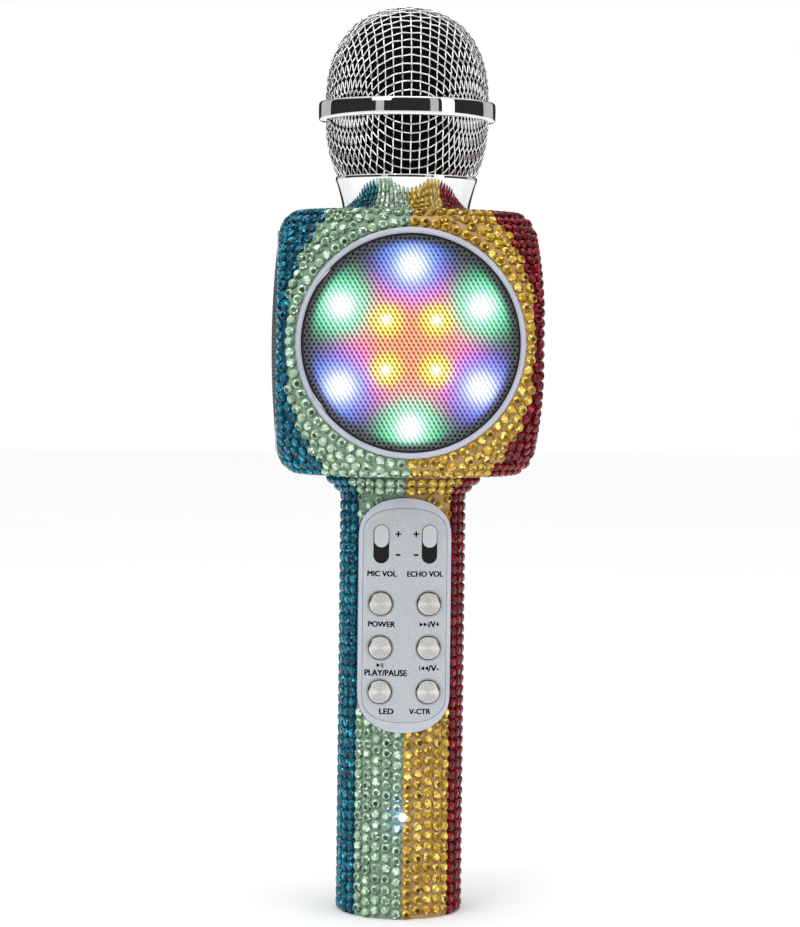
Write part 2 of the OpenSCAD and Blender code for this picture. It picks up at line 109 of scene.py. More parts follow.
class Link:
    """A shader socket that takes part in ordinary sums."""

    def __init__(self, bench: "ShaderBench", socket: bpy.types.NodeSocket) -> None:
        """Keeps the bench that makes nodes and the socket that gives the value."""
        self.bench = bench
        self.socket = socket

    def sum_of(self, operation: str, first: Any, second: Any = None) -> "Link":
        """Adds a Math node.

        Args:
            operation: the Math node's operation.
            first: a link or a number.
            second: a link or a number, or nothing.

        Returns:
            The node's value.
        """
        feeds = {0: first} if second is None else {0: first, 1: second}
        return self.bench.link("ShaderNodeMath", {"operation": operation}, feeds)

    def __add__(self, other: Any) -> "Link":
        """Adds a value."""
        return self.sum_of("ADD", self, other)

    def __radd__(self, other: Any) -> "Link":
        """Adds to a value."""
        return self.sum_of("ADD", other, self)

    def __sub__(self, other: Any) -> "Link":
        """Takes a value away."""
        return self.sum_of("SUBTRACT", self, other)

    def __rsub__(self, other: Any) -> "Link":
        """Is taken away from a value."""
        return self.sum_of("SUBTRACT", other, self)

    def __mul__(self, other: Any) -> "Link":
        """Multiplies by a value."""
        return self.sum_of("MULTIPLY", self, other)

    def __rmul__(self, other: Any) -> "Link":
        """Multiplies a value."""
        return self.sum_of("MULTIPLY", other, self)

    def __truediv__(self, other: Any) -> "Link":
        """Divides by a value."""
        return self.sum_of("DIVIDE", self, other)

    def __pow__(self, other: Any) -> "Link":
        """Is raised to a power."""
        return self.sum_of("POWER", self, other)

    def __gt__(self, other: Any) -> "Link":
        """Gives 1 where it is over a value, else 0."""
        return self.sum_of("GREATER_THAN", self, other)

    def __lt__(self, other: Any) -> "Link":
        """Gives 1 where it is under a value, else 0."""
        return self.sum_of("LESS_THAN", self, other)

    def ease(self, low: float, high: float) -> "Link":
        """Goes smoothly from 0 at low to 1 at high."""
        feeds = {0: self, 1: low, 2: high, 3: 0.0, 4: 1.0}
        return self.bench.link("ShaderNodeMapRange", {"interpolation_type": "SMOOTHSTEP"}, feeds)

    def bell(self, width: float, steepness: float = 1.0) -> "Link":
        """Gives a bell from this squared distance: 1 at none, 1/e at the width."""
        share = self * (1 / width**2)
        share = share if steepness == 1.0 else share**steepness
        return self.sum_of("EXPONENT", share * -1.0)


class ShaderBench:
    """Builds one material around a Principled shader, or the room's nodes."""

    def __init__(self, name: str, world: Optional[bpy.types.World] = None) -> None:
        """Starts an empty material with its shader and output, or takes a world's empty nodes."""
        if world is not None:
            self.tree = world.node_tree
            return
        self.material = bpy.data.materials.new(name)
        self.material.use_nodes = True
        self.tree = self.material.node_tree
        self.tree.nodes.clear()
        out = self.node("ShaderNodeOutputMaterial")
        self.shader = self.node("ShaderNodeBsdfPrincipled")
        self.tree.links.new(self.shader.outputs[0], out.inputs["Surface"])

    def node(self, kind: str, settings: dict | None = None, feeds: dict | None = None) -> bpy.types.Node:
        """Adds a node.

        Args:
            kind: the node's type.
            settings: its properties, and a ramp's stops as (place, colour) pairs in order.
            feeds: a link, number, vector or colour for each input, by name or number.

        Returns:
            The node.
        """
        made = self.tree.nodes.new(kind)
        for name, value in (settings or {}).items():
            if name != "stops":
                setattr(made, name, value)
                continue
            ramp = made.color_ramp
            ramp.elements[0].position, ramp.elements[1].position = value[0][0], value[-1][0]
            for place, _ in value[1:-1]:
                ramp.elements.new(place)
            for element, (_, colour) in zip(ramp.elements, value):
                element.color = (*colour, 1.0)
        for name, value in (feeds or {}).items():
            self.feed(made.inputs[name], value)
        return made

    def feed(self, socket: bpy.types.NodeSocket, value: Any) -> None:
        """Joins a link to a socket, or sets the socket's own value."""
        if isinstance(value, Link):
            self.tree.links.new(value.socket, socket)
        elif socket.type == "RGBA" and len(value) == 3:
            socket.default_value = (*value, 1.0)
        else:
            socket.default_value = value

    def link(self, kind: str, settings: dict | None = None, feeds: dict | None = None, out: Any = 0) -> Link:
        """Adds a node and gives one of its outputs as a link."""
        return Link(self, self.node(kind, settings, feeds).outputs[out])

    def place(self) -> Link:
        """Gives the place in the object's own metres."""
        return self.link("ShaderNodeTexCoord", out="Object")

    def axes(self) -> tuple[Link, Link, Link]:
        """Gives x, y and z of the place, in millimetres."""
        scaled = self.link("ShaderNodeVectorMath", {"operation": "SCALE"}, {0: self.place(), "Scale": 1000.0})
        split = self.node("ShaderNodeSeparateXYZ", feeds={0: scaled})
        return tuple(Link(self, split.outputs[i]) for i in range(3))

    def noise(self, per_metre: float, detail: float = 3.0, rough: float = 0.55) -> Link:
        """Gives cloudy noise from 0 to 1 with that many clouds a metre."""
        feeds = {"Vector": self.place(), "Scale": per_metre, "Detail": detail, "Roughness": rough}
        return self.link("ShaderNodeTexNoise", feeds=feeds, out=0)

    def attribute(self, name: str) -> Link:
        """Gives a number that the mesh carries on its faces."""
        return self.link("ShaderNodeAttribute", {"attribute_name": name}, out="Fac")

    def ramp(self, value: Link, stops: Sequence[tuple[float, Colour]]) -> Link:
        """Gives the colour that a value has along a ramp."""
        return self.link("ShaderNodeValToRGB", {"stops": stops}, {0: value}, out="Color")

    def blend(self, first: Any, second: Any, share: Any, way: str = "MIX") -> Link:
        """Mixes two colours by a share from 0 to 1."""
        settings = {"data_type": "RGBA", "blend_type": way}
        return self.link("ShaderNodeMix", settings, {0: share, 6: first, 7: second}, out=2)

    def colour(self, red: Any, green: Any, blue: Any) -> Link:
        """Joins three numbers to a colour."""
        return self.link("ShaderNodeCombineColor", feeds={0: red, 1: green, 2: blue}, out=0)

    def bump(self, height: Link, depth: float, strength: float = 1.0) -> Link:
        """Turns a height from 0 to 1 to a normal, with that depth in metres."""
        feeds = {"Height": height, "Distance": depth, "Strength": strength}
        return self.link("ShaderNodeBump", feeds=feeds, out="Normal")

    def finish(self, **sockets: Any) -> bpy.types.Material:
        """Feeds the shader's sockets, named in lower case with underscores, and gives the material."""
        for name, value in sockets.items():
            title = name.replace("_", " ").title().replace("Ior", "IOR")
            self.feed(self.shader.inputs[title], value)
        return self.material


# Finishes -----------------------------------------------------------------


@dataclass(frozen=True)
class Moulded:
    """Moulded plastic, rubber or pressed paper with its fine grain."""

    name: str
    colour: Colour
    roughness: float = 0.4
    grain: float = 0.02 * MM
    grains_per_metre: float = 2500.0
    coat: float = 0.0
    shine: float = 0.5

    def material(self) -> bpy.types.Material:
        """Makes the material."""
        bench = ShaderBench(self.name)
        cloud = bench.noise(90, 2)
        grain = bench.noise(self.grains_per_metre, 2)
        shade = tuple(c * 0.86 for c in self.colour)
        return bench.finish(
            base_color=bench.blend(shade, self.colour, cloud.ease(0.3, 0.6)),
            roughness=self.roughness + (cloud - 0.5) * 0.08 + (grain - 0.5) * 0.05,
            normal=bench.bump(grain, self.grain, 0.5),
            specular_ior_level=self.shine,
            coat_weight=self.coat,
            coat_roughness=0.12,
        )


@dataclass(frozen=True)
class Plated:
    """Polished or plated metal with faint handling marks."""

    name: str
    colour: Colour = (0.86, 0.87, 0.88)
    roughness: float = 0.05
    marks: float = 0.05

    def material(self) -> bpy.types.Material:
        """Makes the material."""
        bench = ShaderBench(self.name)
        smear = bench.noise(260, 5, 0.7)
        fine = bench.noise(1800, 2)
        return bench.finish(
            base_color=bench.blend(tuple(c * 0.9 for c in self.colour), self.colour, smear.ease(0.3, 0.65)),
            metallic=1.0,
            roughness=self.roughness + smear.ease(0.45, 0.8) * self.marks,
            normal=bench.bump(fine, 0.002 * MM, 0.3),
        )


@dataclass(frozen=True)
class BlastedPlate:
    """Bead-blasted aluminium of the control panel."""

    name: str = "blasted_plate"

    def material(self) -> bpy.types.Material:
        """Makes the material."""
        bench = ShaderBench(self.name)
        grit = bench.noise(3600, 3, 0.7)
        cloud = bench.noise(120, 2)
        fine = bench.blend(tint(158, 164, 167), tint(190, 195, 198), grit.ease(0.35, 0.65))
        return bench.finish(
            base_color=bench.blend(fine, tint(183, 189, 193), cloud * 0.5),
            metallic=0.35,
            roughness=0.42 + (grit - 0.5) * 0.2,
            normal=bench.bump(grit, 0.012 * MM, 0.6),
        )


@dataclass(frozen=True)
class SpunCap:
    """A button's cap with the fine round grooves that a lathe leaves, which spread the light."""

    name: str
    x: float
    z: float

    def material(self) -> bpy.types.Material:
        """Makes the material, whose grooves are centred on the button in millimetres."""
        bench = ShaderBench(self.name)
        x, _, z = bench.axes()
        across, up = x - self.x, z - self.z
        radius = (across * across + up * up) ** 0.5
        grooves = radius.sum_of("SINE", radius * 42.0)
        wear = bench.noise(400, 3)
        return bench.finish(
            base_color=bench.blend((0.68, 0.67, 0.65), (0.73, 0.72, 0.7), wear.ease(0.3, 0.7)),
            metallic=1.0,
            roughness=0.2 + wear * 0.08,
            normal=bench.bump(grooves * 0.5 + 0.5, 0.012 * MM, 1.0),
        )


STONE_EDGES = {"handle": 50.0, "housing": 44.0}
FILM_COLOURS = {
    Hue.TEAL: tint(4, 62, 84),
    Hue.MINT: tint(122, 148, 130),
    Hue.GOLD: tint(176, 142, 100),
    Hue.RED: tint(80, 4, 12),
}


@dataclass(frozen=True)
class StoneFilm:
    """The film under the stones, printed in the four colours in stripes around the axis."""

    name: str
    edge: float

    def material(self) -> bpy.types.Material:
        """Makes the material, whose colours change with the direction from the axis."""
        bench = ShaderBench(self.name)
        x, y, _ = bench.axes()
        turn = bench.link("ShaderNodeMath", {"operation": "ARCTAN2"}, {0: x, 1: y.sum_of("ABSOLUTE", y)})
        degrees = turn * (180 / math.pi)
        inner = bench.blend(FILM_COLOURS[Hue.MINT], FILM_COLOURS[Hue.GOLD], degrees > 0.0)
        left = bench.blend(FILM_COLOURS[Hue.TEAL], inner, degrees > -self.edge)
        striped = bench.blend(left, FILM_COLOURS[Hue.RED], degrees > self.edge)
        glue = bench.noise(700, 3, 0.6)
        worn = bench.blend(striped, (0.0, 0.0, 0.0), glue.ease(0.5, 0.8) * 0.25)
        return bench.finish(
            base_color=worn,
            roughness=0.45 + glue * 0.2,
            normal=bench.bump(glue, 0.12 * MM, 0.7),
            specular_ior_level=0.25,
        )


@dataclass(frozen=True)
class CutGlass:
    """Foil-backed cut glass whose facet colours are painted light: painted shade, body, highlight and glint.
    """

    name: str
    # From deep to glint: the colours of a facet's painted shade, its body, a painted highlight and a painted
    # glint.
    deep: Colour
    body: Colour
    bright: Colour
    glint: Colour
    metallic: float = 0.25

    def material(self) -> bpy.types.Material:
        """Makes the material, which reads the facets' painted light and shade."""
        bench = ShaderBench(self.name)
        # Each facet carries painted light from its mesh: 0 is painted shade, 1 a painted glint, turned to
        # colour by the ramp.
        tone = bench.attribute("tone")
        cloud = bench.noise(900, 2)
        stops = [(0.0, self.deep), (0.3, self.body), (0.68, self.bright), (1.0, self.glint)]
        return bench.finish(
            base_color=bench.ramp(tone + (cloud - 0.5) * 0.25, stops),
            metallic=self.metallic,
            roughness=0.12 + cloud * 0.08,
            specular_ior_level=0.3,
            coat_weight=0.08,
            coat_roughness=0.03,
        )


@dataclass(frozen=True)
class Lamp:
    """One lamp of a speaker face: its place in millimetres from the face's centre, and its halo."""

    x: float
    z: float
    halo: Colour
    reach: float
    core: float
    level: float = 1.0


def lamp_ring() -> tuple[Lamp, ...]:
    """Gives the six outer and four inner lamps of a face."""
    ring, near = 21.6, 6.7
    sides = {
        90: (0.03, 0.2, 0.95),
        150: (0.0, 0.62, 0.26),
        30: (0.0, 0.62, 0.26),
        210: (0.05, 0.17, 0.95),
        330: (0.08, 0.16, 0.95),
        270: (0.0, 0.6, 0.24),
    }
    outer = tuple(
        Lamp(ring * math.cos(math.radians(a)), ring * math.sin(math.radians(a)) - 1.0, halo, 8.8, 3.4)
        for a, halo in sides.items()
    )
    inner = tuple(
        Lamp(near * sx, near * sz - 0.6, (0.86, 0.68, 0.0), 4.2, 1.2, 0.9) for sx in (-1, 1) for sz in (-1, 1)
    )
    return outer + inner


def glow(bench: ShaderBench, field_level: float, core_level: float) -> Link:
    """Gives the light of a face's lamps over its surface.

    Args:
        bench: the material's bench.
        field_level: how bright the coloured halos are.
        core_level: how bright the white cores are.

    Returns:
        The colour of the light.
    """
    pink_r, orange_r, rim_low, rim_high = 19.5, 14.5, 25.6, 28.2
    x, _, z = bench.axes()
    up = z - HOUSING_Z / MM
    centre = x * x + (up + 0.5) * (up + 0.5)
    black = (0.0, 0.0, 0.0)
    light = bench.blend(black, scaled((0.8, 0.04, 0.4), field_level), centre.bell(pink_r, 2.2))
    light = bench.blend(light, scaled((0.85, 0.22, 0.1), field_level), centre.bell(orange_r, 2.0))
    lamps = []
    for lamp in lamp_ring():
        dx, dz = x - lamp.x, up - lamp.z
        distance = dx * dx + dz * dz
        light = bench.blend(light, scaled(lamp.halo, field_level), distance.bell(lamp.reach, 1.5))
        lamps.append((lamp, distance))
    for lamp, distance in lamps:
        core = distance.bell(lamp.core, 0.75) * (core_level * lamp.level)
        light = bench.blend(light, (1.0, 1.0, 1.0), core)
    spread = x * x + up * up
    outside = spread.sum_of("SQRT", spread).ease(rim_low, rim_high)
    return bench.blend(light, black, outside)


def scaled(colour: Colour, level: float) -> Colour:
    """Gives a colour of another brightness."""
    return tuple(channel * level for channel in colour)


GRILLE_PITCH = 1.265 * MM
GRILLE_CELLS = (49, 28)
GRILLE_PHASE = (GRILLE_CELLS[0] - 1) / 2 + (GRILLE_CELLS[1] - 0.5) / 2


@dataclass(frozen=True)
class PerforatedSteel:
    """Grey painted steel of a grille, with the lamps' glow painted on it as light of its own where they are
    lit.
    """

    name: str
    lit: bool

    def material(self) -> bpy.types.Material:
        """Makes the material."""
        bench = ShaderBench(self.name)
        fleck = bench.noise(1500, 3)
        base = bench.blend(tint(58, 60, 66), tint(96, 98, 104), fleck)
        # A lit sheet gets painted light: the lamps' glow set on the steel itself as emission.
        sockets = {"emission_color": self.shining(bench), "emission_strength": 2.15} if self.lit else {}
        return bench.finish(
            base_color=base,
            metallic=0.45,
            roughness=0.38 + fleck * 0.14,
            normal=bench.bump(fleck, 0.01 * MM, 0.4),
            **sockets,
        )

    def shining(self, bench: ShaderBench) -> Link:
        """Gives the light painted on the sheet, weaker in slanting lines along its rows of holes."""
        x, _, z = bench.axes()
        row = GRILLE_PITCH / MM * math.sqrt(3) / 2
        along = (x * math.cos(math.radians(30)) + (z - HOUSING_Z / MM) * 0.5) / row + GRILLE_PHASE
        ridge = along.sum_of("COSINE", along * (2 * math.pi)).ease(0.1, 1.0)
        light = glow(bench, 1.0, 1.0)
        return bench.blend(light, (0.0, 0.0, 0.0), ridge * 0.78)


@dataclass(frozen=True)
class LitSheet:
    """The frosted sheet behind a lit grille."""

    name: str

    def material(self) -> bpy.types.Material:
        """Makes the material."""
        bench = ShaderBench(self.name)
        frost = bench.noise(2200, 2)
        return bench.finish(
            base_color=bench.blend((0.03, 0.03, 0.035), (0.06, 0.06, 0.065), frost),
            roughness=0.5 + frost * 0.1,
            emission_color=glow(bench, 0.2, 0.9),
            emission_strength=1.5,
        )


@dataclass(frozen=True)
class OpenFoam:
    """Black open-cell foam."""

    name: str = "open_foam"

    def material(self) -> bpy.types.Material:
        """Makes the material."""
        bench = ShaderBench(self.name)
        feeds = {"Vector": bench.place(), "Scale": 1500.0, "Randomness": 1.0}
        cells = bench.link("ShaderNodeTexVoronoi", feeds=feeds, out="Distance")
        cloud = bench.noise(180, 3)
        return bench.finish(
            base_color=bench.blend(
                (0.002, 0.002, 0.0022), (0.01, 0.01, 0.0105), cells.ease(0.1, 0.9) * cloud
            ),
            roughness=0.92 + cloud * 0.05,
            normal=bench.bump(cells, 0.3 * MM, 1.0),
            specular_ior_level=0.05,
        )


@dataclass(frozen=True)
class BoardLacquer:
    """A circuit board's lacquer with its copper tracks."""

    name: str
    lacquer: Colour
    track: Colour

    def material(self) -> bpy.types.Material:
        """Makes the material."""
        bench = ShaderBench(self.name)
        feeds = {"Vector": bench.place(), "Scale": 420.0, "Randomness": 0.55}
        settings = {"feature": "DISTANCE_TO_EDGE"}
        tracks = 1.0 - bench.link("ShaderNodeTexVoronoi", settings, feeds, out="Distance").ease(0.06, 0.1)
        return bench.finish(
            base_color=bench.blend(self.lacquer, self.track, tracks),
            roughness=0.28 + tracks * 0.06,
            normal=bench.bump(tracks, 0.03 * MM, 0.6),
        )


@dataclass(frozen=True)
class LampLens:
    """The small lit window low on the handle."""

    name: str
    light: Colour
    strength: float

    def material(self) -> bpy.types.Material:
        """Makes the material."""
        bench = ShaderBench(self.name)
        haze = bench.noise(2500, 2)
        return bench.finish(
            base_color=bench.blend((0.7, 0.8, 0.9), (0.9, 0.95, 1.0), haze),
            roughness=0.2 + haze * 0.1,
            emission_color=bench.blend(self.light, (1.0, 1.0, 1.0), haze.ease(0.2, 0.9)),
            emission_strength=self.strength,
        )


# Modelling ----------------------------------------------------------------


def begin(add: Callable, name: str, **sizes: Any) -> bpy.types.Object:
    """Adds a primitive with nothing else selected.

    Args:
        add: the primitive's operator.
        name: the new piece's name.
        sizes: the operator's sizes and place.

    Returns:
        The new object, with its place in its mesh.
    """
    bpy.ops.object.select_all(action="DESELECT")
    add(**sizes)
    piece = bpy.context.object
    piece.name = piece.data.name = name
    bpy.ops.object.transform_apply(location=True, rotation=True, scale=True)
    return piece


def hold(piece: bpy.types.Object) -> None:
    """Selects one piece and nothing else."""
    bpy.ops.object.select_all(action="DESELECT")
    piece.select_set(True)
    bpy.context.view_layer.objects.active = piece


def edit(piece: bpy.types.Object, pick: Callable | None, kind: str = "FACE") -> None:
    """Opens a piece in edit mode with the elements that pick accepts selected.

    Args:
        piece: the piece.
        pick: takes an element's centre and says whether it is selected; nothing selects all.
        kind: VERT, EDGE or FACE.
    """
    hold(piece)
    bpy.ops.object.mode_set(mode="EDIT")
    bpy.ops.mesh.select_mode(type=kind)
    bpy.ops.mesh.select_all(action="SELECT" if pick is None else "DESELECT")
    if pick is None:
        return
    bpy.ops.object.mode_set(mode="OBJECT")
    mesh = piece.data
    if kind == "VERT":
        for vertex in mesh.vertices:
            vertex.select = bool(pick(vertex.co))
    elif kind == "EDGE":
        for side in mesh.edges:
            ends = [mesh.vertices[i].co for i in side.vertices]
            side.select = bool(pick((ends[0] + ends[1]) / 2))
    else:
        for face in mesh.polygons:
            face.select = bool(pick(face.center))
    bpy.ops.object.mode_set(mode="EDIT")


def close() -> None:
    """Leaves edit mode."""
    bpy.ops.object.mode_set(mode="OBJECT")


def apply(piece: bpy.types.Object, kind: str, **settings: Any) -> None:
    """Adds a modifier with its settings and applies it."""
    hold(piece)
    made = piece.modifiers.new(kind.lower(), kind)
    for name, value in settings.items():
        setattr(made, name, value)
    bpy.ops.object.modifier_apply(modifier=made.name)


def smooth(piece: bpy.types.Object, degrees: float = 32.0) -> None:
    """Shades a piece smooth, apart from edges sharper than an angle."""
    hold(piece)
    bpy.ops.object.shade_smooth_by_angle(angle=math.radians(degrees))


def tidy(piece: bpy.types.Object, gap: float = 0.002 * MM) -> None:
    """Merges a piece's doubles and turns its faces outwards."""
    edit(piece, None, "VERT")
    bpy.ops.mesh.remove_doubles(threshold=gap)
    bpy.ops.mesh.normals_make_consistent(inside=False)
    close()


def lathe(
    name: str, outline: Sequence[tuple[float, float]], steps: int = 96, flat: float = 11.0
) -> bpy.types.Object:
    """Spins a closed outline around the upright axis.

    Args:
        name: the piece's name.
        outline: radius and height of each corner, in order.
        steps: how many steps go round.
        flat: edges sharper than this angle in degrees stay sharp.

    Returns:
        The turned piece.
    """
    piece = begin(bpy.ops.mesh.primitive_plane_add, name, size=1.0)
    edit(piece, None, "VERT")
    bpy.ops.mesh.merge(type="CENTER")
    bpy.ops.transform.translate(value=(outline[0][0], 0.0, outline[0][1]))
    for (r0, z0), (r1, z1) in zip(outline, list(outline[1:]) + [outline[0]]):
        bpy.ops.mesh.extrude_region_move(TRANSFORM_OT_translate={"value": (r1 - r0, 0.0, z1 - z0)})
    bpy.ops.mesh.select_all(action="SELECT")
    bpy.ops.mesh.spin(steps=steps, angle=2 * math.pi, center=(0, 0, 0), axis=(0, 0, 1))
    close()
    tidy(piece)
    smooth(piece, flat)
    return piece


def shape(piece: bpy.types.Object, move: Callable[[np.ndarray], np.ndarray]) -> None:
    """Moves all of a piece's corners by a function of their places."""
    places = np.empty(len(piece.data.vertices) * 3)
    piece.data.vertices.foreach_get("co", places)
    moved = move(places.reshape(-1, 3))
    piece.data.vertices.foreach_set("co", np.ascontiguousarray(moved, dtype=np.float32).ravel())
    piece.data.update()


def turned(piece: bpy.types.Object, name: str, matrix: Matrix) -> bpy.types.Object:
    """Copies a piece with its own mesh, turned in its mesh."""
    copy = piece.copy()
    copy.data = piece.data.copy()
    copy.name = copy.data.name = name
    bpy.context.scene.collection.objects.link(copy)
    copy.data.transform(matrix)
    return copy


def join(name: str, pieces: Sequence[bpy.types.Object]) -> bpy.types.Object:
    """Joins pieces to one."""
    hold(pieces[0])
    for piece in pieces:
        piece.select_set(True)
    bpy.ops.object.join()
    whole = bpy.context.object
    whole.name = whole.data.name = name
    return whole


def dress(
    piece: bpy.types.Object,
    material: bpy.types.Material,
    body: str = BODY,
    stands_for: Iterable[str] = (),
) -> bpy.types.Object:
    """Gives a finished piece its material, its body and the solids it stands for."""
    piece.data.materials.clear()
    piece.data.materials.append(material)
    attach(piece, body)
    if stands_for:
        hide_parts(*stands_for)
    log.info("%s: %d faces, on %s", piece.name, len(piece.data.polygons), body)
    return piece


# Forms --------------------------------------------------------------------


@dataclass(frozen=True)
class HousingForm:
    """The speaker housing's outer form: a cube with rounded edges, bowed sides and balled corners."""

    half: float = 36.5 * MM
    side_bow: float = 450 * MM
    upright_r: float = 6.5 * MM
    rim_r: float = 7.2 * MM
    ball_r: float = 49.9 * MM
    softness: float = 0.4 * MM

    def depth(self, places: np.ndarray) -> np.ndarray:
        """Gives how far outside the form places are.

        Args:
            places: places from the housing's centre, one a row.

        Returns:
            The distance of each, under zero inside.
        """
        x, y, z = np.abs(places).T
        grown = self.half / (self.half - z**2 / (2 * self.side_bow))
        x, y = x * grown, y * grown
        parts = np.stack([
            self._rounded(x, y, self.upright_r),
            self._rounded(x, z, self.rim_r),
            self._rounded(y, z, self.rim_r),
            np.linalg.norm(places, axis=1) - self.ball_r,
        ])
        top = parts.max(axis=0)
        soft = top + self.softness * np.log(np.exp((parts - top) / self.softness).sum(axis=0))
        return soft - self.softness * math.log(2)

    def _rounded(self, a: np.ndarray, b: np.ndarray, r: float) -> np.ndarray:
        """Gives the distance from a rounded square in one plane."""
        a, b = a - (self.half - r), b - (self.half - r)
        return np.hypot(np.maximum(a, 0), np.maximum(b, 0)) + np.minimum(np.maximum(a, b), 0) - r

    def reach(self, ways: np.ndarray, inset: float) -> np.ndarray:
        """Finds the surface along directions from the centre.

        Args:
            ways: directions, one a row.
            inset: how far inside the outer form the surface lies.

        Returns:
            The surface's places, from the housing's centre.
        """
        ways = ways / np.linalg.norm(ways, axis=1, keepdims=True)
        low, high = np.full(len(ways), 0.02), np.full(len(ways), 0.06)
        for _ in range(34):
            middle = (low + high) / 2
            outside = self.depth(ways * middle[:, None]) > -inset
            high, low = np.where(outside, middle, high), np.where(outside, low, middle)
        return ways * low[:, None]

    def normals(self, places: np.ndarray) -> np.ndarray:
        """Gives the form's outward direction at places."""
        step = 0.05 * MM
        slopes = [self.depth(places + step * axis) - self.depth(places - step * axis) for axis in np.eye(3)]
        slopes = np.stack(slopes, axis=1)
        return slopes / np.linalg.norm(slopes, axis=1, keepdims=True)


@dataclass(frozen=True)
class PanelOutline:
    """The control panel's outline: straight sides and superelliptical ends."""

    width: float = 25.3 * MM
    height: float = 64.2 * MM
    middle: float = 83.4 * MM
    rise: float = 10.5 * MM
    power: float = 2.2

    def holds(self, x: float, z: float, margin: float) -> bool:
        """Says whether a place in front view is inside the outline grown by a margin."""
        over = abs(z - self.middle) - (self.height / 2 - self.rise)
        wide = self.width / 2 + margin
        if over <= 0:
            return abs(x) < wide
        share = over / (self.rise + margin)
        return share < 1 and abs(x) < wide * (1 - share**self.power) ** (1 / self.power)


# Stones -------------------------------------------------------------------


@dataclass(frozen=True)
class Stone:
    """Where one stone sits: its foot, its outward direction, the way up its face, and its colour."""

    foot: np.ndarray
    out: np.ndarray
    hue: Hue


